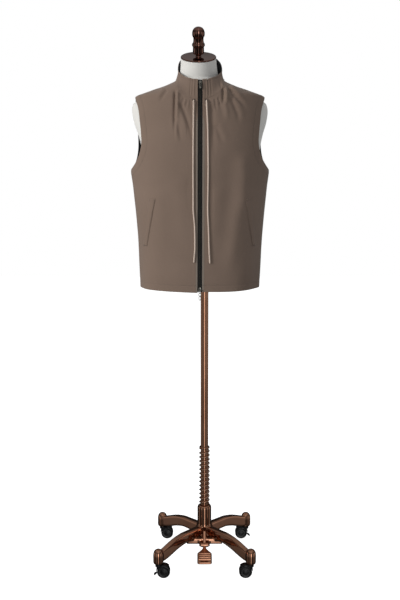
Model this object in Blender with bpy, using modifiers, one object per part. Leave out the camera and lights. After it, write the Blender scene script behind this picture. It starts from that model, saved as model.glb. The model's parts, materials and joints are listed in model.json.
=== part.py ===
"""A sleeveless zip vest worn by a limbless dress form on a wheeled, height-adjustable stand.

Metres, +Z up. The origin is on the floor under the vest. -Y is the garment's front, and +X is
the side of the wearer's left arm. The vest hangs over the form and is nowhere nearer to it than
a few millimetres.
"""

from math import asin, ceil, cos, degrees, pi, radians, sin, sqrt

import bmesh
import bpy
import numpy as np
from mathutils import Matrix, Vector

MM = 0.001
GAP = 0.3 * MM

# ---- vest sizes ----------------------------------------------------------------------------
CLOTH = 1.6 * MM
LINING = 1.0 * MM
LINING_CLEAR = 0.6 * MM
HEM_SIDE_Z = 0.8780
HEM_DROP = 0.0030
ARMPIT_Z = 1.231
TIP_Z = 1.444
NECK_HALF_WIDTH = 0.0714
NECK_SIDE_Z = 1.494
NECK_FRONT_Z = 1.430
NECK_BACK_Z = 1.512
ARMHOLE_FRONT = radians(34.0)
ARMHOLE_BACK = radians(24.3)
ARMHOLE_ROUNDNESS = 2.4
ARMHOLE_LOWER_ROUNDNESS = 2.95
ARMHOLE_LOWER_REACH = 0.095
ARMHOLE_BLEND = 0.4
ZIP_HALF_GAP = 0.0068
SPREAD_FROM_Z = 1.02
SPREAD_TO_Z = 1.34
TURN_AT_HEM = radians(-0.2)
TURN_AT_TIP = radians(0.4)
BACK_SWAY = 0.028

COLLAR_TOP_HALF_WIDTH = 0.0655
COLLAR_TOP_FRONT_DEPTH = 0.0895
COLLAR_TOP_BACK_DEPTH = 0.070
COLLAR_TOP_SIDE_Z = 1.528
COLLAR_TOP_FRONT_Z = 1.488
COLLAR_TOP_BACK_Z = 1.573
COLLAR_BULGE = 0.003
COLLAR_SIDE_HOLLOW = 0.0025
COLLAR_BACK_RISE = 1.6
COLLAR_LIFT = 1.8 * MM
LINING_START = 0.45
NECK_STEPS = 5

# Steps of the cloth's grids.
PANEL_ROWS_BELOW_ARMPIT = 9
PANEL_ROWS_ABOVE_ARMPIT = 11
FRONT_SHOULDER_STEPS = 6
BACK_SHOULDER_STEPS = 4
COLLAR_ROWS = 3
WELT_ROWS = 7
TAPE_ROWS = 24
CHAIN_ROWS = 28

# Rings of the vest: height, half width, depth in front of and behind the side seam, roundness.
VEST_RINGS = [
    {"z": 0.850, "half": 0.1820, "front": 0.1205, "back": 0.1125, "power": 2.30},
    {"z": 0.960, "half": 0.1862, "front": 0.1225, "back": 0.1100, "power": 2.30},
    {"z": 1.032, "half": 0.1893, "front": 0.1240, "back": 0.1090, "power": 2.30},
    {"z": 1.105, "half": 0.1950, "front": 0.1255, "back": 0.1110, "power": 2.30},
    {"z": 1.178, "half": 0.2021, "front": 0.1275, "back": 0.1160, "power": 2.30},
    {"z": 1.231, "half": 0.2083, "front": 0.1285, "back": 0.1210, "power": 2.30},
    {"z": 1.300, "half": 0.2075, "front": 0.1265, "back": 0.1245, "power": 2.30},
    {"z": 1.370, "half": 0.2050, "front": 0.1180, "back": 0.1220, "power": 2.30},
    {"z": 1.410, "half": 0.2005, "front": 0.1100, "back": 0.1165, "power": 2.25},
    {"z": 1.444, "half": 0.1930, "front": 0.1000, "back": 0.1080, "power": 2.20},
    {"z": 1.461, "half": 0.1510, "front": 0.0945, "back": 0.1020, "power": 2.20},
    {"z": 1.478, "half": 0.1010, "front": 0.0880, "back": 0.0940, "power": 2.20},
    {"z": 1.494, "half": 0.0714, "front": 0.0800, "back": 0.0830, "power": 2.20},
    {"z": 1.512, "half": 0.0680, "front": 0.0720, "back": 0.0710, "power": 2.20},
]

# Broad folds of the hanging cloth: angle from the centre front, width in angle, top and bottom
# heights, depth outwards. A negative angle is the wearer's right.
DRAPE_FOLDS = [
    {"angle": 38, "width": 13, "top": 1.34, "bottom": 0.86, "depth": 0.0035},
    {"angle": 66, "width": 12, "top": 1.20, "bottom": 0.86, "depth": -0.0030},
    {"angle": -48, "width": 15, "top": 1.26, "bottom": 0.86, "depth": 0.0025},
    {"angle": -74, "width": 11, "top": 1.16, "bottom": 0.86, "depth": -0.0025},
    {"angle": 118, "width": 14, "top": 1.25, "bottom": 0.86, "depth": 0.0035},
    {"angle": 150, "width": 13, "top": 1.36, "bottom": 0.86, "depth": -0.0030},
    {"angle": -112, "width": 13, "top": 1.22, "bottom": 0.86, "depth": 0.0030},
    {"angle": -146, "width": 15, "top": 1.38, "bottom": 0.86, "depth": -0.0035},
]

# The share of its height below which a fold is at its full depth.
FOLD_FULL_BELOW = 0.45

# ---- pocket, drawcord and zip sizes ---------------------------------------------------------
WELT_WIDTH = 0.021
WELT_TOP = {"x": 0.1285, "z": 1.148}
WELT_BOTTOM = {"x": 0.1545, "z": 1.008}
WELT_THICKNESS = 1.0 * MM
WELT_LIFT = 0.8 * MM
WELT_TOP_SHARE = 0.95
WELT_TAPER = 0.25

EYELET_X = 0.018
EYELET_Z = 1.426
EYELET_RADIUS = 0.0045
EYELET_HOLE = 0.0026
EYELET_THICKNESS = 0.9 * MM
CORD_DIAMETER = 0.0042
CORD_LIFT = 0.0026
CORD_POINTS = 38
CORD_ARC_STEPS = 8
CORD_FALL_STEPS = 160
CORD_JOIN = 0.002

# Each drawcord leaves its eyelet aslant, bends down and then lies on the front: how far
# sideways it is at each height.
CORD_EXIT_SLANT = radians(50.0)
CORD_BEND = 2.1 * CORD_DIAMETER
CORD_SETTLE = 0.045
CORD_ROUTES = {
    "drawcord_right": [
        {"z": 0.963, "x": -0.0181}, {"z": 1.010, "x": -0.0147}, {"z": 1.066, "x": -0.0155},
        {"z": 1.120, "x": -0.0194}, {"z": 1.220, "x": -0.0196}, {"z": 1.360, "x": -0.0188},
        {"z": 1.426, "x": -0.0182},
    ],
    "drawcord_left": [
        {"z": 0.960, "x": 0.0284}, {"z": 1.010, "x": 0.0262}, {"z": 1.066, "x": 0.0244},
        {"z": 1.120, "x": 0.0221}, {"z": 1.220, "x": 0.0235}, {"z": 1.340, "x": 0.0222},
        {"z": 1.426, "x": 0.0182},
    ],
}

TAPE_INNER_X = 0.0034
TAPE_OUTER_X = 0.0150
TAPE_THICKNESS = 0.8 * MM
CHAIN_HALF_WIDTH = 0.0030
CHAIN_THICKNESS = 2.2 * MM
CHAIN_DEPTH = 0.4 * MM
TAPE_SINKS_BELOW_NECK = 0.02
ZIP_BOTTOM_Z = 0.8755
ZIP_TOP_Z = 1.484
SLIDER_LENGTH = 0.012
SLIDER_WIDTH = 0.0095
SLIDER_DEPTH = 0.0030
TOP_SLIDER_Z = 1.476
BOTTOM_SLIDER_Z = 0.8845
PULL_WIDTH = 0.0062
PULL_THICKNESS = 1.4 * MM
TOP_PULL_LENGTH = 0.020
BOTTOM_PULL_LENGTH = 0.034
PULL_END = 0.0006
SLIDER_LIFT = 0.2 * MM
PULL_LIFT = SLIDER_LIFT + SLIDER_DEPTH + GAP + PULL_THICKNESS / 2

# ---- dress form sizes ----------------------------------------------------------------------
POLE_X = 0.014
NECK_X = -0.0045
FORM_BOTTOM_Z = 0.892
FORM_WALL = 6.0 * MM
FORM_SEGMENTS = 24
CAP_TILT = radians(24.0)
CAP_CENTRE = Vector((NECK_X, -0.020, 1.557))
CAP_RADIUS = 0.0522
CAP_THICKNESS = 4.0 * MM
NECK_BASE = Vector((0.0, 0.001, 1.500))
NECK_BASE_RADIUS = 0.0590

# Rings of the dress form below the neck: height, half width, front and back depth, roundness.
FORM_RINGS = [
    {"z": 0.892, "half": 0.158, "front": 0.102, "back": 0.096, "power": 2.3},
    {"z": 0.960, "half": 0.163, "front": 0.102, "back": 0.098, "power": 2.3},
    {"z": 1.060, "half": 0.153, "front": 0.097, "back": 0.088, "power": 2.3},
    {"z": 1.160, "half": 0.159, "front": 0.104, "back": 0.094, "power": 2.3},
    {"z": 1.240, "half": 0.169, "front": 0.109, "back": 0.102, "power": 2.3},
    {"z": 1.300, "half": 0.178, "front": 0.108, "back": 0.106, "power": 2.3},
    {"z": 1.338, "half": 0.187, "front": 0.104, "back": 0.104, "power": 2.10},
    {"z": 1.373, "half": 0.198, "front": 0.098, "back": 0.100, "power": 1.92},
    {"z": 1.405, "half": 0.2025, "front": 0.091, "back": 0.095, "power": 1.78},
    {"z": 1.424, "half": 0.199, "front": 0.086, "back": 0.090, "power": 1.72},
    {"z": 1.436, "half": 0.183, "front": 0.082, "back": 0.086, "power": 1.75},
    {"z": 1.450, "half": 0.148, "front": 0.077, "back": 0.082, "power": 1.85},
    {"z": 1.466, "half": 0.099, "front": 0.070, "back": 0.074, "power": 2.00},
    {"z": 1.480, "half": 0.070, "front": 0.063, "back": 0.064, "power": 2.00},
    {"z": 1.500, "half": 0.0595, "front": 0.057, "back": 0.056, "power": 2.00},
]

# Turned outline of the finial, from its tip down: height above the neck cap, and radius.
FINIAL_OUTLINE = [
    (0.0850, 0.0000), (0.0842, 0.0060), (0.0815, 0.0115), (0.0770, 0.0155), (0.0710, 0.0178),
    (0.0650, 0.0184), (0.0595, 0.0178), (0.0565, 0.0163), (0.0535, 0.0152), (0.0490, 0.0149),
    (0.0430, 0.0153), (0.0390, 0.0164), (0.0365, 0.0183), (0.0330, 0.0188), (0.0300, 0.0180),
    (0.0285, 0.0163), (0.0120, 0.0166), (0.0085, 0.0155), (0.0062, 0.0110), (0.0045, 0.0085),
    (0.0003, 0.0085), (0.0003, 0.0000),
]

# ---- stand sizes ---------------------------------------------------------------------------
POLE_RADIUS = 0.0120
POLE_WALL = 0.0020
POLE_BOTTOM_Z = 0.108
POLE_TOP_Z = 0.925
RUNNING = 0.5 * MM
SPRING_BOTTOM_Z = 0.1750
SPRING_TOP_Z = 0.361
SPRING_TURNS = 13.5
SPRING_RADIUS = 0.0147
SPRING_WIRE = 0.0016
SPRING_POINTS_PER_TURN = 10
STOP_HEIGHT = 0.006
FLANGE_RADIUS = 0.034
PLATE_THICKNESS = 0.012
BOARD_CLEAR = 0.003
BOARD_HOLE_LENGTH = 0.06
HUB_BORE = {"length": 0.20, "z": 0.12}

CASTER_REACH = 0.1995
BOSS_RADIUS = 0.0157
BOSS_BOTTOM_Z = 0.0440
BOSS_TOP_Z = 0.0895
STEM_RADIUS = 0.0045
STEM_TOP_Z = 0.066
WHEEL_RADIUS = 0.0200
WHEEL_FACETS = 20
AXLE_Z = WHEEL_RADIUS * cos(pi / WHEEL_FACETS)
TRAIL = 0.0160
DISC_INNER_Y = 0.0031
DISC_OUTER_Y = 0.0105
AXLE_RADIUS = 0.0030
AXLE_HOLE_LENGTH = 0.02
DISC_SEAT = 0.004
WHEEL_ROOM_WIDTH = 0.012
WEB_HALF = 0.0025
WEB_RADIUS = 0.0125
BRAKE_REACH = 0.0150
BRAKE_KNUCKLE = 0.0022
BRAKE_KNUCKLE_LENGTH = 0.0044
HOOD_INNER = WHEEL_RADIUS + 0.0008
HOOD_OUTER = WHEEL_RADIUS + 0.0030
HOOD_FROM = radians(42.0)
HOOD_TO = radians(172.0)
HOOD_STEPS = 7
FORK_RIB = (0.0160, 2 * WEB_HALF, 0.0190)
FORK_RIB_BACK = 0.003
FORK_RIB_UP = 0.014
FORK_NECK_RADIUS = 0.0095
FORK_NECK_BOTTOM_Z = 0.0335
FORK_NECK_TOP_Z = 0.0430
STEM_BOTTOM_Z = 0.036

# Turned outline of the hub, from its top down: radius and height.
HUB_OUTLINE = [
    (0.0000, 0.1745), (0.0165, 0.1745), (0.0200, 0.1728), (0.0222, 0.1680), (0.0222, 0.1120),
    (0.0262, 0.1000), (0.0262, 0.0800), (0.0222, 0.0660), (0.0000, 0.0660),
]

# Each leg from the hub outwards: distance from the pole, height of its middle, its own height, width.
LEG_SECTIONS = [
    {"reach": 0.012, "z": 0.0888, "height": 0.0375, "width": 0.0240},
    {"reach": 0.045, "z": 0.0910, "height": 0.0330, "width": 0.0220},
    {"reach": 0.085, "z": 0.0910, "height": 0.0320, "width": 0.0210},
    {"reach": 0.120, "z": 0.0853, "height": 0.0345, "width": 0.0200},
    {"reach": 0.150, "z": 0.0755, "height": 0.0370, "width": 0.0195},
    {"reach": 0.175, "z": 0.0668, "height": 0.0355, "width": 0.0190},
    {"reach": 0.192, "z": 0.0625, "height": 0.0300, "width": 0.0185},
]
LEG_SIDES = 8
LEG_SQUARENESS = 0.6
LEG_AZIMUTHS = {1: 225, 2: 315, 3: 45, 4: 135}
BRAKED_CASTERS = (1, 3)

# The pedal's bracket: a bar between the front legs, a bridge back to the hub and two lugs.
BAR = {"y": -0.045, "long": 0.112, "deep": 0.008, "low": 0.0626, "high": 0.0800}
BRIDGE = {"y": -0.0331, "z": 0.0785, "wide": 0.0171, "deep": 0.0272, "high": 0.011}
LUG = {"y": -0.0565, "z": 0.0675, "deep": 0.021, "high": 0.0105}
LEVER_ROOM = {"y": -0.040, "z": 0.0915, "wide": 0.0115, "deep": 0.040, "high": 0.030}
PEDAL_PIVOT = Vector((POLE_X, -0.062, 0.066))
KNUCKLE_RADIUS = 0.0065
KNUCKLE_LENGTH = 0.026
LUG_THICKNESS = 0.0035
LUG_SPAN = KNUCKLE_LENGTH + 2 * (GAP + LUG_THICKNESS)
PIN_RADIUS = 0.0022
TREAD_HALF_WIDTH = 0.0225
TREAD_RIBS = 4
FIRST_RIB_Y = -0.106
RIB_SPACING = 0.0105
RIB = (0.0400, 0.0038, 0.0040)
LEVER_ARM = (0.0080, 0.0055)
LEVER_ARM_LOW = Vector((POLE_X, -0.060, 0.067))
LEVER_ARM_HIGH = Vector((POLE_X, -0.0375, 0.1005))

# The pedal from its knuckle outwards: place, height, half width and thickness.
PEDAL_SECTIONS = [
    {"y": -0.066, "z": 0.0630, "half": 0.0050, "thick": 0.0065},
    {"y": -0.078, "z": 0.0590, "half": 0.0058, "thick": 0.0065},
    {"y": -0.090, "z": 0.0560, "half": 0.0150, "thick": 0.0070},
    {"y": -0.100, "z": 0.0545, "half": TREAD_HALF_WIDTH, "thick": 0.0075},
    {"y": -0.146, "z": 0.0480, "half": TREAD_HALF_WIDTH, "thick": 0.0075},
    {"y": -0.151, "z": 0.0472, "half": TREAD_HALF_WIDTH - 0.003, "thick": 0.0060},
]

# A caster's brake lever from its pin outwards.
BRAKE_SECTIONS = [
    {"y": 0.0008, "z": -0.0004, "half": 0.0020, "thick": 0.0030},
    {"y": 0.0062, "z": -0.0060, "half": 0.0020, "thick": 0.0036},
    {"y": 0.0068, "z": -0.0064, "half": 0.0070, "thick": 0.0036},
    {"y": 0.0150, "z": -0.0115, "half": 0.0070, "thick": 0.0030},
]

# ---- colours -------------------------------------------------------------------------------
MATERIALS = {
    "shell_cloth": {"colour": (0.23, 0.165, 0.125), "rough": 0.75, "metal": 0.0},
    "dark_lining": {"colour": (0.012, 0.012, 0.013), "rough": 0.85, "metal": 0.0},
    "zip_tape": {"colour": (0.035, 0.033, 0.026), "rough": 0.8, "metal": 0.0},
    "zip_metal": {"colour": (0.10, 0.10, 0.09), "rough": 0.35, "metal": 1.0},
    "cord": {"colour": (0.74, 0.60, 0.51), "rough": 0.8, "metal": 0.0},
    "form_jersey": {"colour": (0.80, 0.79, 0.76), "rough": 0.9, "metal": 0.0},
    "copper_plate": {"colour": (0.23, 0.085, 0.035), "rough": 0.15, "metal": 1.0},
    "board": {"colour": (0.45, 0.33, 0.22), "rough": 0.7, "metal": 0.0},
    "black_plastic": {"colour": (0.012, 0.012, 0.013), "rough": 0.35, "metal": 0.0},
}


# ---- the scene, materials and small helpers ------------------------------------------------
def clear_scene():
    for obj in list(bpy.data.objects):
        bpy.data.objects.remove(obj)


def collection(name, shown=True):
    made = bpy.data.collections.new(name)
    made.hide_render = not shown
    bpy.context.scene.collection.children.link(made)
    return made


def material(name):
    found = bpy.data.materials.get(name)
    if found:
        return found
    look = MATERIALS[name]
    made = bpy.data.materials.new(name)
    made.use_nodes = True
    shader = made.node_tree.nodes["Principled BSDF"]
    shader.inputs["Base Color"].default_value = (*look["colour"], 1.0)
    shader.inputs["Roughness"].default_value = look["rough"]
    shader.inputs["Metallic"].default_value = look["metal"]
    return made


def add_object(name, data, where, look):
    obj = bpy.data.objects.new(name, data)
    where.objects.link(obj)
    if look:
        data.materials.append(material(look))
    return obj


def mesh_from_bmesh(name, bm, where, look):
    bmesh.ops.recalc_face_normals(bm, faces=bm.faces)
    mesh = bpy.data.meshes.new(name)
    bm.to_mesh(mesh)
    bm.free()
    return add_object(name, mesh, where, look)


def smooth(obj, angle=40.0):
    obj.data.shade_smooth()
    obj.data.set_sharp_from_angle(angle=radians(angle))
    return obj


def smooth_step(value, low, high):
    t = min(1.0, max(0.0, (value - low) / (high - low)))
    return t * t * (3.0 - 2.0 * t)


# ---- sections through a table of rings -----------------------------------------------------
class Table:
    """A table of rows that rise in height, whose other columns are read smoothly between rows."""

    def __init__(self, rows):
        self.heights = np.array([row["z"] for row in rows])
        self.columns = {key: np.array([row[key] for row in rows]) for key in rows[0] if key != "z"}
        self.slopes = {key: self._slopes(values) for key, values in self.columns.items()}

    def _slopes(self, values):
        """Slopes at the rings that keep each column between its neighbours' values."""
        step = np.diff(self.heights)
        rise = np.diff(values) / step
        slopes = np.zeros(len(values))
        slopes[0], slopes[-1] = rise[0], rise[-1]
        for k in range(1, len(values) - 1):
            if rise[k - 1] * rise[k] > 0:
                w1, w2 = 2 * step[k] + step[k - 1], step[k] + 2 * step[k - 1]
                slopes[k] = (w1 + w2) / (w1 / rise[k - 1] + w2 / rise[k])
        return slopes

    def at(self, key, z):
        z = min(max(z, self.heights[0]), self.heights[-1])
        k = min(int(np.searchsorted(self.heights, z, side="right")) - 1, len(self.heights) - 2)
        step = self.heights[k + 1] - self.heights[k]
        t = (z - self.heights[k]) / step
        low, high = self.columns[key][k], self.columns[key][k + 1]
        m0, m1 = self.slopes[key][k] * step, self.slopes[key][k + 1] * step
        return (
            (2 * t**3 - 3 * t**2 + 1) * low
            + (t**3 - 2 * t**2 + t) * m0
            + (3 * t**2 - 2 * t**3) * high
            + (t**3 - t**2) * m1
        )


class Rings(Table):
    """A body whose level sections are superellipses, from a table of rings."""

    def point(self, angle, z):
        """The point at this angle from the centre front, positive towards the wearer's left."""
        shape = 2.0 / self.at("power", z)
        s, c = sin(angle), cos(angle)
        depth = self.at("front" if c > 0 else "back", z)
        x = self.at("half", z) * abs(s) ** shape * (1 if s >= 0 else -1)
        y = -depth * abs(c) ** shape * (1 if c >= 0 else -1)
        return Vector((x, y, z))

    def angle_of(self, x, z, behind=False):
        """The angle at which the ring at this height reaches this far sideways."""
        share = min(1.0, abs(x) / self.at("half", z))
        angle = asin(share ** (self.at("power", z) / 2.0))
        angle = pi - angle if behind else angle
        return angle if x >= 0 else -angle

    def height_of_half(self, half):
        """The height on the shoulder at which the rings are this wide."""
        zs = np.linspace(TIP_Z, NECK_SIDE_Z, 200)
        halves = np.array([self.at("half", z) for z in zs])
        return float(np.interp(-half, -halves, zs))


VEST = Rings(VEST_RINGS)
FORM = Rings(FORM_RINGS)


def drape(angle, z):
    """How far the broad folds push the cloth outwards."""
    out = 0.0
    for fold in DRAPE_FOLDS:
        away = (degrees(angle) - fold["angle"] + 180.0) % 360.0 - 180.0
        across = np.exp(-((away / fold["width"]) ** 2))
        full = fold["bottom"] + FOLD_FULL_BELOW * (fold["top"] - fold["bottom"])
        fade = 1.0 - smooth_step(z, full, fold["top"])
        out += fold["depth"] * across * fade
    return out


def vest_point(angle, z, out=0.0):
    """A point of the vest's outer surface, moved out along the surface's own normal."""
    step_angle, step_z = 0.004, 0.0008
    around = VEST.point(angle + step_angle, z) - VEST.point(angle - step_angle, z)
    along = VEST.point(angle, z + step_z) - VEST.point(angle, z - step_z)
    normal = around.cross(along).normalized()
    return VEST.point(angle, z) + normal * (out + drape(angle, z))


def turned(point):
    """The vest sits on the form a little turned, and its back hangs towards the wearer's right."""
    share = min(1.0, max(0.0, (point.z - HEM_SIDE_Z) / (TIP_Z - HEM_SIDE_Z)))
    turn = TURN_AT_HEM + (TURN_AT_TIP - TURN_AT_HEM) * share
    sway = Vector((BACK_SWAY * share * max(0.0, point.y), 0.0, 0.0))
    return Matrix.Rotation(turn, 3, "Z") @ point - sway


# ---- outlines of the vest's panels ---------------------------------------------------------
def armhole_angle(z, behind):
    """The armhole's edge as an angle from the side seam: fuller in its lower half."""
    if not ARMPIT_Z < z < TIP_Z:
        return 0.0
    across = 2.0 * (z - ARMPIT_Z) / (TIP_Z - ARMPIT_Z) - 1.0
    roundness = ARMHOLE_ROUNDNESS if across > 0 else ARMHOLE_LOWER_ROUNDNESS
    reach = ARMHOLE_BACK if behind else ARMHOLE_FRONT
    reach *= 1.0 + ARMHOLE_LOWER_REACH * (1.0 - smooth_step(across, -ARMHOLE_BLEND, ARMHOLE_BLEND))
    return reach * sqrt(1.0 - abs(across)**roundness)


def neckline_z(x, behind):
    share = sqrt(max(0.0, 1.0 - (x / NECK_HALF_WIDTH) ** 2))
    end = NECK_BACK_Z if behind else NECK_FRONT_Z
    return NECK_SIDE_Z + (end - NECK_SIDE_Z) * share


def neck_angles(first_x):
    """Angles round a quarter of the neckline, the same for a panel and for the collar on it."""
    start = asin(first_x / NECK_HALF_WIDTH)
    return [start + (pi / 2 - start) * k / NECK_STEPS for k in range(NECK_STEPS + 1)]


def panel_columns(shoulder_steps, first_x):
    """Sideways places of the columns at the shoulder, closer together at the neck's corner."""
    tip = VEST.at("half", TIP_Z)
    neck = [NECK_HALF_WIDTH * sin(angle) for angle in neck_angles(first_x)]
    shoulder = [
        NECK_HALF_WIDTH + (tip - NECK_HALF_WIDTH) * k / shoulder_steps
        for k in range(1, shoulder_steps + 1)
    ]
    return [x / tip for x in neck + shoulder]


def panel_rows(lower, upper):
    """Shares of the height from hem to top: even below the armpit, closer at the armhole's ends."""
    armpit = (ARMPIT_Z - HEM_SIDE_Z) / (TIP_Z - HEM_SIDE_Z)
    low = [armpit * k / lower for k in range(lower)]
    high = [armpit + (1.0 - armpit) * (1.0 - cos(pi * k / upper)) / 2.0 for k in range(upper + 1)]
    return low + high


def panel_place(column, row, behind, first_x):
    """Angle and height of a panel's grid point, on the wearer's left."""
    tip = VEST.at("half", TIP_Z)
    top_x = column * tip
    top = neckline_z(top_x, behind) if top_x < NECK_HALF_WIDTH else VEST.height_of_half(top_x)
    start = first_x / tip
    across = (column - start) / (1.0 - start)
    hem = HEM_SIDE_Z - HEM_DROP * cos(across * pi / 2) ** 2
    z = hem + row * (top - hem)
    edge_z = HEM_SIDE_Z + row * (TIP_Z - HEM_SIDE_Z)
    reference = VEST.at("half", edge_z)
    upper = smooth_step(edge_z, SPREAD_FROM_Z, SPREAD_TO_Z)
    spread = (1.0 - upper) * sin(across * pi / 2) + upper * across
    edge_angle = pi / 2 - armhole_angle(edge_z, behind)
    edge_x = reference * sin(edge_angle) ** (2.0 / VEST.at("power", edge_z))
    x = first_x + (reference - first_x) * spread - (reference - edge_x) * across**3
    if row == 1.0 and top_x >= NECK_HALF_WIDTH:
        x = VEST.at("half", z)
    return VEST.angle_of(x, z, behind), z


def wall_mesh(name, outer, inner, where, look, closed=False):
    """A closed wall between two grids of points, each a list of rows."""
    bm = bmesh.new()
    layers = [[[bm.verts.new(p) for p in row] for row in grid] for grid in (outer, inner)]
    rows, columns = len(outer), len(outer[0])
    last = columns if closed else columns - 1
    for layer in layers:
        for i in range(rows - 1):
            for j in range(last):
                k = (j + 1) % columns
                bm.faces.new((layer[i][j], layer[i][k], layer[i + 1][k], layer[i + 1][j]))
    rim = [[(i, 0) for i in range(rows)], [(i, columns - 1) for i in range(rows)]]
    rim = [] if closed else rim
    around = list(range(columns)) + ([0] if closed else [])
    rim += [[(0, j) for j in around], [(rows - 1, j) for j in around]]
    for line in rim:
        for (i0, j0), (i1, j1) in zip(line, line[1:]):
            bm.faces.new((layers[0][i0][j0], layers[0][i1][j1], layers[1][i1][j1], layers[1][i0][j0]))
    return smooth(mesh_from_bmesh(name, bm, where, look), 60.0)


def panel_grid(columns, rows, behind, first_x, side, out, seam_shift):
    """Rows of points of a panel on one side, or across both sides where side is 0."""
    signs = (-1, 1) if side == 0 else (side,)
    grid = []
    for row in rows:
        line = []
        for sign in signs:
            places = [panel_place(column, row, behind, first_x) for column in columns]
            half = []
            for angle, z in places:
                point = vest_point(sign * angle, z, out)
                point.y += seam_shift
                half.append(turned(point))
            line += half[::-1] if sign == -1 and side == 0 else (half[1:] if side == 0 else half)
        grid.append(line)
    return grid


def vest_panels(where):
    rows = panel_rows(PANEL_ROWS_BELOW_ARMPIT, PANEL_ROWS_ABOVE_ARMPIT)
    columns = panel_columns(FRONT_SHOULDER_STEPS, ZIP_HALF_GAP)
    for name, side in (("front_left", 1), ("front_right", -1)):
        grids = [
            panel_grid(columns, rows, False, ZIP_HALF_GAP, side, out, -GAP / 2) for out in (0.0, -CLOTH)
        ]
        wall_mesh(name, *grids, where, "shell_cloth")
    columns = panel_columns(BACK_SHOULDER_STEPS, 0.0)
    walls = {
        "back": (0.0, -CLOTH, GAP / 2, "shell_cloth"),
        "back_lining": (-CLOTH - LINING_CLEAR, -CLOTH - LINING_CLEAR - LINING, GAP / 2, "dark_lining"),
    }
    for name, (first, second, shift, look) in walls.items():
        grids = [panel_grid(columns, rows, True, 0.0, 0, out, shift) for out in (first, second)]
        wall_mesh(name, *grids, where, look)


# ---- collar --------------------------------------------------------------------------------
def collar_base(angle):
    """The neckline, seen as an angle round the neck from the centre front."""
    behind = cos(angle) < 0
    x = NECK_HALF_WIDTH * sin(angle)
    z = neckline_z(x, behind)
    return VEST.point(VEST.angle_of(x, z, behind), z)


def collar_top(angle):
    c = cos(angle)
    end_z = COLLAR_TOP_FRONT_Z if c > 0 else COLLAR_TOP_BACK_Z
    depth = COLLAR_TOP_FRONT_DEPTH if c > 0 else COLLAR_TOP_BACK_DEPTH
    share = c if c > 0 else 1.0 - (1.0 + c) ** COLLAR_BACK_RISE
    z = COLLAR_TOP_SIDE_Z + (end_z - COLLAR_TOP_SIDE_Z) * share
    return Vector((COLLAR_TOP_HALF_WIDTH * sin(angle), -depth * c, z))


def collar_point(angle, up, out=0.0):
    """A point of the collar: angle from the centre front, share of the height, moved out."""

    def middle(a, v):
        base, top = collar_base(a), collar_top(a)
        away = Vector((sin(a), -cos(a), 0.0))
        bulge = COLLAR_BULGE * cos(a) ** 2 - COLLAR_SIDE_HOLLOW * sin(a) ** 2
        return base.lerp(top, v) + away * bulge * sin(pi * v)

    step = 0.01
    around = middle(angle + step, up) - middle(angle - step, up)
    along = middle(angle, min(1.0, up + step)) - middle(angle, max(0.0, up - step))
    normal = around.cross(along).normalized()
    return middle(angle, up) + normal * out


def collar(where):
    half = neck_angles(ZIP_HALF_GAP) + [pi - angle for angle in neck_angles(0.0)[-2::-1]]
    angles = half + [2 * pi - angle for angle in half[-2::-1]]
    lift = COLLAR_LIFT / (COLLAR_TOP_FRONT_Z - NECK_FRONT_Z)
    shares = [lift + (1.0 - lift) * k / COLLAR_ROWS for k in range(COLLAR_ROWS + 1)]
    layers = {
        "collar": (0.0, -CLOTH, "shell_cloth"),
        "collar_lining": (-CLOTH - LINING_CLEAR, -CLOTH - LINING_CLEAR - LINING, "dark_lining"),
    }
    for name, (first, second, look) in layers.items():
        grids = [
            [[turned(collar_point(a, up, out)) for a in angles] for up in shares]
            for out in (first, second)
        ]
        if name == "collar_lining":
            for row in grids[0] + grids[1]:
                row[0] = row[0].lerp(row[1], LINING_START)
                row[-1] = row[-1].lerp(row[-2], LINING_START)
        wall_mesh(name, *grids, where, look)


# ---- zip -----------------------------------------------------------------------------------
def front_at(x, z, out=0.0):
    """The point of the vest's front that ends up this far sideways once the vest is turned."""
    flat = vest_point(VEST.angle_of(x, z), z)
    shift = turned(flat).x - flat.x
    return turned(vest_point(VEST.angle_of(x - shift, z), z, out))


def front_line(z, x, out):
    """A point near the centre front: on the body below the neckline, on the collar above it."""
    if z <= NECK_FRONT_Z:
        return turned(vest_point(VEST.angle_of(x, z), z, out))
    up = (z - NECK_FRONT_Z) / (COLLAR_TOP_FRONT_Z - NECK_FRONT_Z)
    return turned(collar_point(asin(x / NECK_HALF_WIDTH), up, out))


def front_frame(z, out):
    """Axes at the zip at this height: sideways, along the zip and away from the body."""
    here = front_line(z, 0.0, out)
    along = (front_line(z + 0.004, 0.0, out) - front_line(z - 0.004, 0.0, out)).normalized()
    across = (front_line(z, 0.003, out) - front_line(z, -0.003, out)).normalized()
    away = across.cross(along).normalized()
    frame = Matrix((across, along, away)).transposed().to_4x4()
    return Matrix.Translation(here) @ frame


def zip_heights(count):
    return [ZIP_BOTTOM_Z + (ZIP_TOP_Z - ZIP_BOTTOM_Z) * k / count for k in range(count + 1)]


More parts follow.
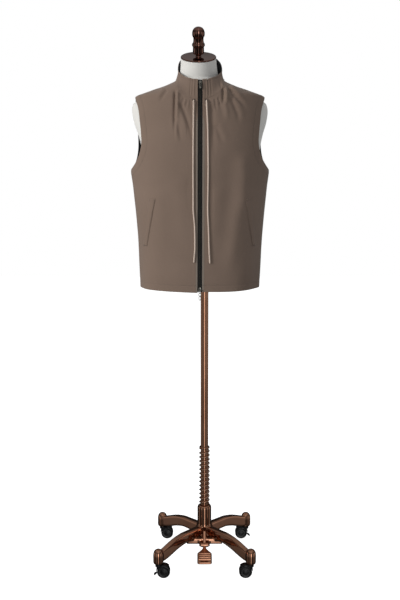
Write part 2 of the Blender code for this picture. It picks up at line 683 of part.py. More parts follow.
def zip_strips(where):
    behind = -CLOTH - GAP
    for name, side in (("zip_tape_left", 1), ("zip_tape_right", -1)):
        places = [side * TAPE_INNER_X, side * (TAPE_INNER_X + TAPE_OUTER_X) / 2, side * TAPE_OUTER_X]
        heights = zip_heights(TAPE_ROWS)
        grids = [
            [[front_line(z, x, out) for x in places] for z in heights]
            for out in (behind, behind - TAPE_THICKNESS)
        ]
        collar_rows = [i for i, z in enumerate(heights) if z > NECK_FRONT_Z - TAPE_SINKS_BELOW_NECK]
        for i in collar_rows:
            deeper = -LINING - GAP
            grids[0][i] = [front_line(heights[i], x, behind + deeper) for x in places]
            grids[1][i] = [front_line(heights[i], x, behind + deeper - TAPE_THICKNESS) for x in places]
        wall_mesh(name, *grids, where, "zip_tape")
    places = (-CHAIN_HALF_WIDTH, CHAIN_HALF_WIDTH)
    grids = [
        [[front_line(z, x, out) for x in places] for z in zip_heights(CHAIN_ROWS)]
        for out in (-CHAIN_DEPTH, -CHAIN_DEPTH - CHAIN_THICKNESS)
    ]
    wall_mesh("zip_chain", *grids, where, "zip_metal")


def box_at(name, frame, size, where, look, centre=(0, 0, 0), bevel=0.0):
    """A box in a local frame, with its edges rounded where a bevel is given."""
    bm = bmesh.new()
    bmesh.ops.create_cube(bm, size=1.0)
    bmesh.ops.scale(bm, vec=size, verts=bm.verts)
    bmesh.ops.translate(bm, vec=centre, verts=bm.verts)
    obj = mesh_from_bmesh(name, bm, where, look)
    obj.matrix_world = frame
    if bevel:
        edges = obj.modifiers.new("rounded", "BEVEL")
        edges.width = bevel
        edges.segments = 1
    return obj


def zip_sliders(where):
    for level, z, length in (
        ("top", TOP_SLIDER_Z, TOP_PULL_LENGTH),
        ("bottom", BOTTOM_SLIDER_Z, BOTTOM_PULL_LENGTH),
    ):
        frame = front_frame(z, 0.0)
        size = (SLIDER_WIDTH, SLIDER_LENGTH, SLIDER_DEPTH)
        centre = (0.0, 0.0, SLIDER_LIFT + SLIDER_DEPTH / 2)
        box_at(f"zip_slider_{level}", frame, size, where, "zip_metal", centre, bevel=1.0 * MM)
        size = (PULL_WIDTH, length, PULL_THICKNESS)
        centre = (0.0, PULL_END - length / 2, 0.0)
        hinge = frame @ Matrix.Translation((0.0, 0.0, PULL_LIFT))
        box_at(f"zip_pull_{level}", hinge, size, where, "zip_metal", centre, bevel=0.4 * MM)


# ---- pockets, eyelets and drawcords --------------------------------------------------------
def pocket_welts(where):
    top_x, top_z = WELT_TOP["x"], WELT_TOP["z"]
    bottom_x, bottom_z = WELT_BOTTOM["x"], WELT_BOTTOM["z"]
    for name, side in (("pocket_welt_left", 1), ("pocket_welt_right", -1)):
        grids = []
        for out in (WELT_LIFT + WELT_THICKNESS, WELT_LIFT):
            grid = []
            for k in range(WELT_ROWS + 1):
                share = k / WELT_ROWS
                z = top_z + (bottom_z - top_z) * share
                inner = top_x + (bottom_x - top_x) * share
                line = []
                for across in (0.0, 0.33, 0.67, 1.0):
                    x = inner + WELT_WIDTH * across * (WELT_TOP_SHARE - WELT_TAPER * share)
                    angle = VEST.angle_of(x, z)
                    line.append(turned(vest_point(side * angle, z, out) + Vector((0, -GAP / 2, 0))))
                grid.append(line)
            grids.append(grid)
        wall_mesh(name, *grids, where, "shell_cloth")


def eyelet_frame(side):
    """The eyelet's centre on the cloth, with its axis away from the body."""
    x, z, reach = side * EYELET_X, EYELET_Z, 0.003
    here, right, above = front_at(x, z), front_at(x + reach, z), front_at(x, z + reach)
    across = (right - here).normalized()
    away = across.cross(above - here).normalized()
    up = away.cross(across)
    return Matrix.Translation(here) @ Matrix((across, up, away)).transposed().to_4x4()


def turned_solid(name, outline, where, look, frame=None, segments=24, closed_ring=False):
    """A solid turned about its local Z, from an outline of (radius, height), outer side going down."""
    bm = bmesh.new()
    verts = [bm.verts.new((r, 0.0, h)) for r, h in outline]
    for a, b in zip(verts, verts[1:]):
        bm.edges.new((a, b))
    if closed_ring:
        bm.edges.new((verts[-1], verts[0]))
    mesh = bpy.data.meshes.new(name)
    bm.to_mesh(mesh)
    bm.free()
    obj = add_object(name, mesh, where, look)
    turn = obj.modifiers.new("turned", "SCREW")
    turn.steps = turn.render_steps = segments
    turn.use_merge_vertices = True
    turn.merge_threshold = 0.00005
    if frame is not None:
        obj.matrix_world = frame
    return obj


def ring_outline(inner, outer, low, high):
    return [(outer, high), (outer, low), (inner, low), (inner, high)]


def eyelets(where):
    for name, side in (("eyelet_left", 1), ("eyelet_right", -1)):
        outline = ring_outline(EYELET_HOLE, EYELET_RADIUS, GAP, GAP + EYELET_THICKNESS)
        turned_solid(
            name, outline, where, "zip_metal", eyelet_frame(side), segments=12, closed_ring=True
        )


def evenly(points, count):
    """Points an even distance apart along a fine line."""
    steps = [(b - a).length for a, b in zip(points, points[1:])]
    lengths = np.concatenate([[0.0], np.cumsum(steps)])
    even = []
    for k in range(count):
        where = lengths[-1] * k / (count - 1)
        i = min(int(np.searchsorted(lengths, where, side="right")) - 1, len(points) - 2)
        t = (where - lengths[i]) / steps[i]
        even.append(points[i].lerp(points[i + 1], t))
    return even


def cord_line(route, side):
    """The drawcord's middle line: an arc out of the eyelet, then down the front of the vest."""
    table = Table(route)
    frame = eyelet_frame(side).to_3x3()
    up, away = frame @ Vector((0, 1, 0)), frame @ Vector((0, 0, 1))
    clear = GAP + EYELET_THICKNESS + GAP + CORD_DIAMETER / 2 * sin(CORD_EXIT_SLANT)
    start = eyelet_frame(side).translation + away * clear
    line = []
    for k in range(CORD_ARC_STEPS + 1):
        angle = CORD_EXIT_SLANT + (pi / 2 - CORD_EXIT_SLANT) * k / CORD_ARC_STEPS
        out = CORD_BEND * (sin(angle) - sin(CORD_EXIT_SLANT))
        down = CORD_BEND * (cos(CORD_EXIT_SLANT) - cos(angle))
        line.append(start + away * out - up * down)
    proud = clear + CORD_BEND * (1.0 - sin(CORD_EXIT_SLANT)) - CORD_LIFT
    top, bottom = line[-1].z - CORD_JOIN, route[0]["z"]
    for k in range(CORD_FALL_STEPS + 1):
        z = top + (bottom - top) * k / CORD_FALL_STEPS
        settled = smooth_step(top - z, 0.0, CORD_SETTLE)
        line.append(front_at(table.at("x", z), z, CORD_LIFT + proud * (1.0 - settled)))
    return line


def tube(name, points, radius, where, look, resolution=2):
    curve = bpy.data.curves.new(name, "CURVE")
    curve.dimensions = "3D"
    curve.bevel_depth = radius
    curve.bevel_resolution = resolution
    curve.use_fill_caps = True
    spline = curve.splines.new("POLY")
    spline.points.add(len(points) - 1)
    for target, point in zip(spline.points, points):
        target.co = (*point, 1.0)
    return add_object(name, curve, where, look)


def drawcords(where):
    for name, route in CORD_ROUTES.items():
        side = 1 if name.endswith("left") else -1
        tube(name, evenly(cord_line(route, side), CORD_POINTS), CORD_DIAMETER / 2, where, "cord")


# ---- dress form ----------------------------------------------------------------------------
def form_centre_x(z):
    """The form leans a little, from the pole's line at its foot to the neck's at its top."""
    share = (z - FORM_BOTTOM_Z) / (CAP_CENTRE.z - FORM_BOTTOM_Z)
    return POLE_X + (NECK_X - POLE_X) * share


def form_ring(z, inset=0.0):
    points = []
    for k in range(FORM_SEGMENTS):
        angle = 2 * pi * (k + 0.5) / FORM_SEGMENTS
        p = FORM.point(angle, z)
        away = Vector((p.x, p.y, 0.0)).normalized()
        points.append(p + Vector((form_centre_x(z), 0, 0)) - away * inset)
    return points


def neck_ring(share):
    """A ring of the neck, from level at its base to the cap's tilt at its top."""
    eased = smooth_step(share, 0.0, 1.0)
    low = NECK_BASE + Vector((form_centre_x(NECK_BASE.z), 0, 0))
    centre = low.lerp(CAP_CENTRE, share)
    radius = NECK_BASE_RADIUS + (CAP_RADIUS - NECK_BASE_RADIUS) * (1.0 - (1.0 - share) ** 2)
    tilt = Matrix.Rotation(CAP_TILT * eased, 3, "X")
    points = []
    for k in range(FORM_SEGMENTS):
        angle = 2 * pi * (k + 0.5) / FORM_SEGMENTS
        points.append(centre + tilt @ Vector((radius * sin(angle), -radius * cos(angle), 0.0)))
    return points


def form_torso(where):
    heights = [row["z"] for row in FORM_RINGS]
    rings = [form_ring(z) for z in heights[:-1]]
    rings += [neck_ring(share) for share in (0.0, 0.35, 0.7, 1.0)]
    bm = bmesh.new()
    loops = [[bm.verts.new(p) for p in ring] for ring in rings]
    for low, high in zip(loops, loops[1:]):
        for k in range(FORM_SEGMENTS):
            n = (k + 1) % FORM_SEGMENTS
            bm.faces.new((low[k], low[n], high[n], high[k]))
    bm.faces.new(loops[-1])
    obj = mesh_from_bmesh("form_torso", bm, where, "form_jersey")
    wall = obj.modifiers.new("wall", "SOLIDIFY")
    wall.thickness = FORM_WALL
    wall.offset = -1.0
    smooth(obj, 50.0)


def form_base(where, cutters):
    """The board that closes the form's foot, and the flange under it that takes the pole."""
    rings = [form_ring(z, FORM_WALL + BOARD_CLEAR) for z in (FORM_BOTTOM_Z, FORM_BOTTOM_Z + PLATE_THICKNESS)]
    bm = bmesh.new()
    low, high = [[bm.verts.new(p) for p in ring] for ring in rings]
    bm.faces.new(low)
    bm.faces.new(high)
    for k in range(FORM_SEGMENTS):
        n = (k + 1) % FORM_SEGMENTS
        bm.faces.new((low[k], low[n], high[n], high[k]))
    board = mesh_from_bmesh("form_board", bm, where, "board")
    hole = cylinder(
        "board_hole", POLE_RADIUS + RUNNING, BOARD_HOLE_LENGTH, (POLE_X, 0, FORM_BOTTOM_Z), cutters, 32
    )
    cut(board, hole)
    outline = [
        (0.017, -0.018), (POLE_RADIUS + RUNNING, -0.018), (POLE_RADIUS + RUNNING, -GAP),
        (FLANGE_RADIUS, -GAP), (FLANGE_RADIUS, -0.0035), (0.019, -0.0050), (0.017, -0.0070),
    ]
    frame = Matrix.Translation((POLE_X, 0, FORM_BOTTOM_Z))
    turned_solid("pole_flange", outline[3:] + outline[:3], where, "copper_plate", frame, closed_ring=True)


def neck_cap(where):
    frame = Matrix.Translation(CAP_CENTRE) @ Matrix.Rotation(CAP_TILT, 4, "X")
    r, t = CAP_RADIUS, CAP_THICKNESS
    outline = [
        (0.0, t), (r - 0.004, t), (r - 0.0012, t - 0.0005), (r, t - 0.0016), (r, GAP + 0.0006),
        (r - 0.0008, GAP), (0.0, GAP),
    ]
    turned_solid("neck_cap", outline, where, "copper_plate", frame, segments=28)
    above = frame @ Matrix.Translation((0, 0, CAP_THICKNESS))
    finial = [(radius, height) for height, radius in FINIAL_OUTLINE]
    turned_solid("finial", finial, where, "copper_plate", above, segments=16)


# ---- stand ---------------------------------------------------------------------------------
def cylinder(name, radius, length, centre, where, segments, axis="Z", look=None):
    bm = bmesh.new()
    bmesh.ops.create_cone(
        bm, cap_ends=True, segments=segments, radius1=radius, radius2=radius, depth=length
    )
    half_step = Matrix.Rotation(pi / segments, 3, "Z")
    bmesh.ops.rotate(bm, matrix=half_step, verts=bm.verts)
    if axis != "Z":
        turn = Matrix.Rotation(pi / 2, 3, "X" if axis == "Y" else "Y")
        bmesh.ops.rotate(bm, matrix=turn, verts=bm.verts)
    obj = mesh_from_bmesh(name, bm, where, look)
    obj.location = centre
    return obj


def combine(target, other, operation):
    step = target.modifiers.new(other.name, "BOOLEAN")
    step.operation = operation
    step.solver = "EXACT"
    step.object = other
    other.hide_render = True
    other.display_type = "WIRE"


def cut(target, cutter):
    combine(target, cutter, "DIFFERENCE")


def join(target, other):
    combine(target, other, "UNION")


def leg_solid(number, cutters):
    """One leg: rounded sections along its arch, up to the boss that takes the caster."""
    bm = bmesh.new()
    loops = []
    for section in LEG_SECTIONS:
        loop = []
        for k in range(LEG_SIDES):
            angle = 2 * pi * (k + 0.5) / LEG_SIDES
            c, s = cos(angle), sin(angle)
            y = section["width"] / 2 * abs(c) ** LEG_SQUARENESS * (1 if c > 0 else -1)
            z = section["height"] / 2 * abs(s) ** LEG_SQUARENESS * (1 if s > 0 else -1)
            loop.append(bm.verts.new((section["reach"], y, section["z"] + z)))
        loops.append(loop)
    for low, high in zip(loops, loops[1:]):
        for k in range(LEG_SIDES):
            n = (k + 1) % LEG_SIDES
            bm.faces.new((low[k], low[n], high[n], high[k]))
    bm.faces.new(loops[0])
    bm.faces.new(loops[-1])
    leg = mesh_from_bmesh(f"leg_{number}", bm, cutters, None)
    leg.matrix_world = leg_frame(number)
    return leg


def leg_frame(number):
    turn = Matrix.Rotation(radians(LEG_AZIMUTHS[number]), 4, "Z")
    return Matrix.Translation((POLE_X, 0, 0)) @ turn


def boss_place(number):
    return leg_frame(number) @ Vector((CASTER_REACH, 0, 0))


def boss_solid(number, cutters):
    top, bottom, r = BOSS_TOP_Z, BOSS_BOTTOM_Z, BOSS_RADIUS
    hole, depth = STEM_RADIUS + RUNNING, STEM_TOP_Z + 1.0 * MM
    outline = [
        (0.0, top), (0.0062, top - 0.0010), (0.0112, top - 0.0045), (0.0144, top - 0.0105),
        (r, top - 0.0185), (r, bottom + 0.004), (r - 0.001, bottom), (hole, bottom), (hole, depth),
        (0.0, depth),
    ]
    frame = Matrix.Translation(boss_place(number))
    return turned_solid(f"boss_{number}", outline, cutters, None, frame, segments=14)


def base_casting(where, cutters):
    """Hub, legs, caster bosses and the pedal's bracket, cast in one."""
    frame = Matrix.Translation((POLE_X, 0, 0))
    casting = turned_solid("base_casting", HUB_OUTLINE, where, "copper_plate", frame, segments=24)
    for number in LEG_AZIMUTHS:
        join(casting, leg_solid(number, cutters))
        join(casting, boss_solid(number, cutters))
    size = (BAR["long"], BAR["deep"], BAR["high"] - BAR["low"])
    place = (POLE_X, BAR["y"], (BAR["high"] + BAR["low"]) / 2)
    join(casting, box_at("bracket_bar", Matrix.Translation(place), size, cutters, None))
    size = (BRIDGE["wide"], BRIDGE["deep"], BRIDGE["high"])
    place = (POLE_X, BRIDGE["y"], BRIDGE["z"])
    join(casting, box_at("bracket_bridge", Matrix.Translation(place), size, cutters, None))
    for side in (-1, 1):
        offset = side * (KNUCKLE_LENGTH / 2 + GAP + LUG_THICKNESS / 2)
        size = (LUG_THICKNESS, LUG["deep"], LUG["high"])
        place = (POLE_X + offset, LUG["y"], LUG["z"])
        join(casting, box_at(f"bracket_lug_{side}", Matrix.Translation(place), size, cutters, None))
    pin_hole = cylinder("pin_hole", PIN_RADIUS + RUNNING, 2 * LUG_SPAN, PEDAL_PIVOT, cutters, 12, axis="X")
    cut(casting, pin_hole)
    bore = cylinder(
        "hub_bore", POLE_RADIUS + RUNNING, HUB_BORE["length"], (POLE_X, 0, HUB_BORE["z"]), cutters, 24
    )
    cut(casting, bore)
    size = (LEVER_ROOM["wide"], LEVER_ROOM["deep"], LEVER_ROOM["high"])
    place = (POLE_X, LEVER_ROOM["y"], LEVER_ROOM["z"])
    cut(casting, box_at("lever_room", Matrix.Translation(place), size, cutters, None))


def pole_parts(where):
    frame = Matrix.Translation((POLE_X, 0, 0))
    outline = ring_outline(POLE_RADIUS - POLE_WALL, POLE_RADIUS, POLE_BOTTOM_Z, POLE_TOP_Z)
    turned_solid("pole", outline, where, "copper_plate", frame, segments=20, closed_ring=True)
    low = SPRING_TOP_Z + GAP
    outline = ring_outline(POLE_RADIUS + GAP, SPRING_RADIUS + SPRING_WIRE, low, low + STOP_HEIGHT)
    turned_solid("spring_stop", outline, where, "copper_plate", frame, segments=20, closed_ring=True)


def spring(where):
    count = ceil(SPRING_TURNS * SPRING_POINTS_PER_TURN)
    rise = SPRING_TOP_Z - SPRING_BOTTOM_Z - 2 * SPRING_WIRE
    points = []
    for k in range(count + 1):
        angle = 2 * pi * k / SPRING_POINTS_PER_TURN
        z = SPRING_BOTTOM_Z + SPRING_WIRE + rise * k / count
        points.append((POLE_X + SPRING_RADIUS * cos(angle), SPRING_RADIUS * sin(angle), z))
    tube("spring", points, SPRING_WIRE, where, "copper_plate", resolution=0)


def bar_along(name, sections, where):
    """A bar along Y through oblong sections: place, height, half width and thickness."""
    bm = bmesh.new()
    loops = []
    for s in sections:
        corners = [(-1, -1), (1, -1), (1, 1), (-1, 1)]
        loops.append(
            [bm.verts.new((a * s["half"], s["y"], s["z"] + b * s["thick"] / 2)) for a, b in corners]
        )
    for low, high in zip(loops, loops[1:]):
        for k in range(4):
            n = (k + 1) % 4
            bm.faces.new((low[k], low[n], high[n], high[k]))
    bm.faces.new(loops[0])
    bm.faces.new(loops[-1])
    return mesh_from_bmesh(name, bm, where, None)


def pedal(where, cutters):
    """The foot lever: a knuckle on the bracket, an arm up to the hub and a ribbed tread."""
    lever = cylinder(
        "pedal", KNUCKLE_RADIUS, KNUCKLE_LENGTH, PEDAL_PIVOT, where, 16, axis="X", look="copper_plate"
    )
    tread = bar_along("tread", PEDAL_SECTIONS, cutters)
    tread.location.x = POLE_X
    join(lever, tread)
    pin = cylinder("pedal_pin", PIN_RADIUS, LUG_SPAN, PEDAL_PIVOT, cutters, 12, axis="X")
    join(lever, pin)
    near, far = PEDAL_SECTIONS[3], PEDAL_SECTIONS[4]
    for k in range(TREAD_RIBS):
        y = FIRST_RIB_Y - RIB_SPACING * k
        share = (y - near["y"]) / (far["y"] - near["y"])
        z = near["z"] + (far["z"] - near["z"]) * share + near["thick"] / 2 + RIB[2] / 5
        join(lever, box_at(f"rib_{k}", Matrix.Translation((POLE_X, y, z)), RIB, cutters, None))
    middle, along = (LEVER_ARM_LOW + LEVER_ARM_HIGH) / 2, LEVER_ARM_HIGH - LEVER_ARM_LOW
    frame = Matrix.Translation(middle) @ along.to_track_quat("Z", "Y").to_matrix().to_4x4()
    join(lever, box_at("arm", frame, (*LEVER_ARM, along.length), cutters, None))


# ---- casters -------------------------------------------------------------------------------
def caster(number, where, cutters):
    """One caster. At rest it trails towards the stand's middle line, its axle along Y."""
    place = boss_place(number)
    inward = 1 if place.x < POLE_X else -1
    axle = place + Vector((inward * TRAIL, 0, AXLE_Z))
    fork = cylinder(
        f"fork_{number}", WEB_RADIUS, 2 * WEB_HALF, axle, where, 14, axis="Y", look="black_plastic"
    )
    hood = hood_solid(f"hood_{number}", axle, inward, cutters)
    join(fork, hood)
    rib_place = axle + Vector((-inward * FORK_RIB_BACK, 0, FORK_RIB_UP))
    join(fork, box_at(f"fork_rib_{number}", Matrix.Translation(rib_place), FORK_RIB, cutters, None))
    for name, radius, low, high, segments in (
        ("fork_neck", FORK_NECK_RADIUS, FORK_NECK_BOTTOM_Z, FORK_NECK_TOP_Z, 14),
        ("stem", STEM_RADIUS, STEM_BOTTOM_Z, STEM_TOP_Z, 10),
    ):
        middle = place + Vector((0, 0, (low + high) / 2))
        join(fork, cylinder(f"{name}_{number}", radius, high - low, middle, cutters, segments))
    for side in (-1, 1):
        room = axle + Vector((0, side * (DISC_INNER_Y - GAP + WHEEL_ROOM_WIDTH / 2), 0))
        cutter = cylinder(
            f"wheel_room_{number}_{side}", WHEEL_RADIUS + 1.0 * MM, WHEEL_ROOM_WIDTH, room, cutters,
            20, axis="Y",
        )
        cut(fork, cutter)
    hole = cylinder(
        f"axle_hole_{number}", AXLE_RADIUS + RUNNING, AXLE_HOLE_LENGTH, axle, cutters, 12, axis="Y"
    )
    cut(fork, hole)
    wheel_pair(number, axle, where, cutters)
    if number in BRAKED_CASTERS:
        brake_lever(number, axle, inward, where, cutters)


def hood_solid(name, axle, inward, cutters):
    """The mudguard over the wheels: an arc of a ring, as wide as both wheels."""
    inner, outer, half = HOOD_INNER, HOOD_OUTER, DISC_OUTER_Y
    angles = [HOOD_FROM + (HOOD_TO - HOOD_FROM) * k / HOOD_STEPS for k in range(HOOD_STEPS + 1)]
    bm = bmesh.new()
    loops = []
    for angle in angles:
        c, s = inward * cos(angle), sin(angle)
        corners = [(inner, -half), (outer, -half), (outer, half), (inner, half)]
        loops.append([bm.verts.new((r * c, y, r * s)) for r, y in corners])
    for low, high in zip(loops, loops[1:]):
        for k in range(4):
            n = (k + 1) % 4
            bm.faces.new((low[k], low[n], high[n], high[k]))
    bm.faces.new(loops[0])
    bm.faces.new(loops[-1])
    hood = mesh_from_bmesh(name, bm, cutters, None)
    hood.location = axle
    return hood


def wheel_pair(number, axle, where, cutters):
    """Two discs on one axle, which turn together."""
    width = DISC_OUTER_Y - DISC_INNER_Y
    pair = cylinder(
        f"wheels_{number}", AXLE_RADIUS, 2 * DISC_INNER_Y + DISC_SEAT, axle, where, 10, axis="Y",
        look="black_plastic",
    )
    for side in (-1, 1):
        centre = axle + Vector((0, side * (DISC_INNER_Y + width / 2), 0))
        disc = cylinder(
            f"disc_{number}_{side}", WHEEL_RADIUS, width, centre, cutters, WHEEL_FACETS, axis="Y"
        )
        join(pair, disc)


def brake_lever(number, axle, inward, where, cutters):
    """The foot lever that runs out between the wheels, away from their trail, on its own pin."""
    out = -inward
    pin = axle + Vector((out * BRAKE_REACH, 0, 0))
    lever = cylinder(
        f"brake_{number}", BRAKE_KNUCKLE, BRAKE_KNUCKLE_LENGTH, pin, where, 10, axis="Y",
        look="black_plastic",
    )
    blade = bar_along(f"brake_blade_{number}", BRAKE_SECTIONS, cutters)
    blade.matrix_world = Matrix.Translation(pin) @ Matrix.Rotation(-out * pi / 2, 4, "Z")
    join(lever, blade)


# ---- the whole -----------------------------------------------------------------------------
def main():
    clear_scene()
    parts = collection("vest_on_dress_form")
    cutters = collection("cutters", shown=False)
    vest_panels(parts)
    collar(parts)
    zip_strips(parts)
    zip_sliders(parts)
    pocket_welts(parts)
    eyelets(parts)
    drawcords(parts)
    form_torso(parts)
    form_base(parts, cutters)
    neck_cap(parts)
    base_casting(parts, cutters)
    pole_parts(parts)
    spring(parts)
    pedal(parts, cutters)
    for number in LEG_AZIMUTHS:
        caster(number, parts, cutters)


main()
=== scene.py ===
"""The looks of a sleeveless zip vest on a dress form and wheeled stand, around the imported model.

Metres, +Z up, -Y the garment's front, +X towards the wearer's left. Every cloth surface is worked
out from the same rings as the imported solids, then creased, seamed and stitched.
"""

import json
from math import asin, cos, pi, radians, sin

import bmesh
import bpy
import numpy as np
from mathutils import Matrix, Vector

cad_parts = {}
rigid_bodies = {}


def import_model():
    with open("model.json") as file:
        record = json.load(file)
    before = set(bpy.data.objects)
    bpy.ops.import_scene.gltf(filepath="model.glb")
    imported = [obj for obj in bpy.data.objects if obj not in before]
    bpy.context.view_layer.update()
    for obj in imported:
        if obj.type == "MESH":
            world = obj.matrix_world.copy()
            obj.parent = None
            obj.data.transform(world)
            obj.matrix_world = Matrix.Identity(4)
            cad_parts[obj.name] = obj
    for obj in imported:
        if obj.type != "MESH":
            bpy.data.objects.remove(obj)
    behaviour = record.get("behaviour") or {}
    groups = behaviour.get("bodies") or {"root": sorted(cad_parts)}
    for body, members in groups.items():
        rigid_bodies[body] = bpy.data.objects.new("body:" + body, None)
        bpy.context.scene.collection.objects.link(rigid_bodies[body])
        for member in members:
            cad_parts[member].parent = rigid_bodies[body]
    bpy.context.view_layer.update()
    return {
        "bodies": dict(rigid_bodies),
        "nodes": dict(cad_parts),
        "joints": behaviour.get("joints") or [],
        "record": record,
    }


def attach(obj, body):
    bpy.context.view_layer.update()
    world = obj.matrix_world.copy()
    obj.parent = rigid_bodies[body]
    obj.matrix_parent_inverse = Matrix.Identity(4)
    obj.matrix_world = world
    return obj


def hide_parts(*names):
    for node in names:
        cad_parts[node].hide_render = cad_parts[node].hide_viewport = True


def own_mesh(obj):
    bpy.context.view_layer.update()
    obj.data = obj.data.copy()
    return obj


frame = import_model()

MM = 0.001
GAP = 0.3 * MM

def rows_of(names, *rows):
    """A table's rows, each with its values under the names. A short row leaves out the last ones."""
    return [dict(zip(names.split(), row)) for row in rows]

# ---- camera --------------------------------------------------------------------------------
CAMERA_DISTANCE = 2.5
CAMERA_HEIGHT = 1.19
CAMERA_PITCH = radians(8.08)
CAMERA_LENS_MM = 49.08
SENSOR_MM = 36.0

# ---- vest sizes ----------------------------------------------------------------------------
CLOTH = 1.6 * MM
LINING = 1.0 * MM
LINING_CLEAR = 0.6 * MM
HEM_SIDE_Z = 0.8780
HEM_DROP = 0.0030
ARMPIT_Z = 1.231
TIP_Z = 1.444
NECK_HALF_WIDTH = 0.0714
NECK_SIDE_Z = 1.494
NECK_FRONT_Z = 1.430
NECK_BACK_Z = 1.512
ARMHOLE_FRONT = radians(34.0)
ARMHOLE_BACK = radians(24.3)
ARMHOLE_ROUNDNESS = 2.4
ARMHOLE_LOWER_ROUNDNESS = 2.95
ARMHOLE_LOWER_REACH = 0.095
ARMHOLE_BLEND = 0.4
ZIP_HALF_GAP = 0.0068
SPREAD_FROM_Z = 1.02
SPREAD_TO_Z = 1.34
TURN_AT_HEM = radians(-0.2)
TURN_AT_TIP = radians(0.4)
BACK_SWAY = 0.028

COLLAR_TOP_HALF_WIDTH = 0.0655
COLLAR_TOP_FRONT_DEPTH = 0.0895
COLLAR_TOP_BACK_DEPTH = 0.070
COLLAR_TOP_SIDE_Z = 1.528
COLLAR_TOP_FRONT_Z = 1.488
COLLAR_TOP_BACK_Z = 1.573
COLLAR_BULGE = 0.003
COLLAR_SIDE_HOLLOW = 0.0025
COLLAR_BACK_RISE = 1.6

# Rings of the vest: height, half width, depth in front of and behind the side seam, roundness.
VEST_RINGS = rows_of(
    "z half front back power",
    (0.850, 0.1820, 0.1205, 0.1125, 2.30),
    (0.960, 0.1862, 0.1225, 0.1100, 2.30),
    (1.032, 0.1893, 0.1240, 0.1090, 2.30),
    (1.105, 0.1950, 0.1255, 0.1110, 2.30),
    (1.178, 0.2021, 0.1275, 0.1160, 2.30),
    (1.231, 0.2083, 0.1285, 0.1210, 2.30),
    (1.300, 0.2075, 0.1265, 0.1245, 2.30),
    (1.370, 0.2050, 0.1180, 0.1220, 2.30),
    (1.410, 0.2005, 0.1100, 0.1165, 2.25),
    (1.444, 0.1930, 0.1000, 0.1080, 2.20),
    (1.461, 0.1510, 0.0945, 0.1020, 2.20),
    (1.478, 0.1010, 0.0880, 0.0940, 2.20),
    (1.494, 0.0714, 0.0800, 0.0830, 2.20),
    (1.512, 0.0680, 0.0720, 0.0710, 2.20),
)

# Broad folds of the hanging cloth: angle from the centre front, width in angle, top and bottom
# heights, depth outwards. A negative angle is the wearer's right.
DRAPE_FOLDS = rows_of(
    "angle width top bottom depth",
    (38, 13, 1.34, 0.86, 0.0035),
    (66, 12, 1.20, 0.86, -0.0030),
    (-48, 15, 1.26, 0.86, 0.0025),
    (-74, 11, 1.16, 0.86, -0.0025),
    (118, 14, 1.25, 0.86, 0.0035),
    (150, 13, 1.36, 0.86, -0.0030),
    (-112, 13, 1.22, 0.86, 0.0030),
    (-146, 15, 1.38, 0.86, -0.0035),
)

# ---- pocket, drawcord and zip sizes ---------------------------------------------------------
WELT_WIDTH = 0.021
WELT_TOP = {"x": 0.1285, "z": 1.148}
WELT_BOTTOM = {"x": 0.1545, "z": 1.008}
WELT_THICKNESS = 1.0 * MM
WELT_LIFT = 0.8 * MM

EYELET_X = 0.018
EYELET_Z = 1.426
EYELET_RADIUS = 0.0045
EYELET_HOLE = 0.0026
EYELET_THICKNESS = 0.9 * MM
CORD_DIAMETER = 0.0042
CORD_LIFT = 0.0026

# Each drawcord leaves its eyelet aslant, bends down and then lies on the front: how far
# sideways it is at each height.
CORD_EXIT_SLANT = radians(50.0)
CORD_BEND = 2.1 * CORD_DIAMETER
CORD_SETTLE = 0.045
CORD_JOIN = 0.002
CORD_ARC_STEPS = 8
CORD_FALL_STEPS = 160
CORD_ROUTES = {
    "drawcord_right": rows_of(
        "z x", (0.963, -0.0181), (1.010, -0.0147), (1.066, -0.0155), (1.120, -0.0194),
        (1.220, -0.0196), (1.360, -0.0188), (1.426, -0.0182)),
    "drawcord_left": rows_of(
        "z x", (0.960, 0.0284), (1.010, 0.0262), (1.066, 0.0244), (1.120, 0.0221),
        (1.220, 0.0235), (1.340, 0.0222), (1.426, 0.0182)),
}

TAPE_INNER_X = 0.0034
TAPE_OUTER_X = 0.0150
TAPE_THICKNESS = 0.8 * MM
ZIP_BOTTOM_Z = 0.8755
ZIP_TOP_Z = 1.484
ZIP_TOP_TRIM = 0.0030
SLIDER_LENGTH = 0.012
SLIDER_WIDTH = 0.0095
SLIDER_DEPTH = 0.0030
TOP_SLIDER_Z = 1.476
BOTTOM_SLIDER_Z = 0.8845
PULL_WIDTH = 0.0062
PULL_THICKNESS = 1.4 * MM
TOP_PULL_LENGTH = 0.020
PULL_END = 0.0006
SLIDER_LIFT = 0.2 * MM
PULL_LIFT = SLIDER_LIFT + SLIDER_DEPTH + GAP + PULL_THICKNESS / 2

# ---- dress form sizes ----------------------------------------------------------------------
POLE_X = 0.014
NECK_X = -0.0045
FORM_BOTTOM_Z = 0.892
FORM_WALL = 6.0 * MM
CAP_TILT = radians(24.0)
CAP_CENTRE = Vector((NECK_X, -0.020, 1.557))
CAP_RADIUS = 0.0522
CAP_THICKNESS = 4.0 * MM
NECK_BASE = Vector((0.0, 0.001, 1.500))
NECK_BASE_RADIUS = 0.0590

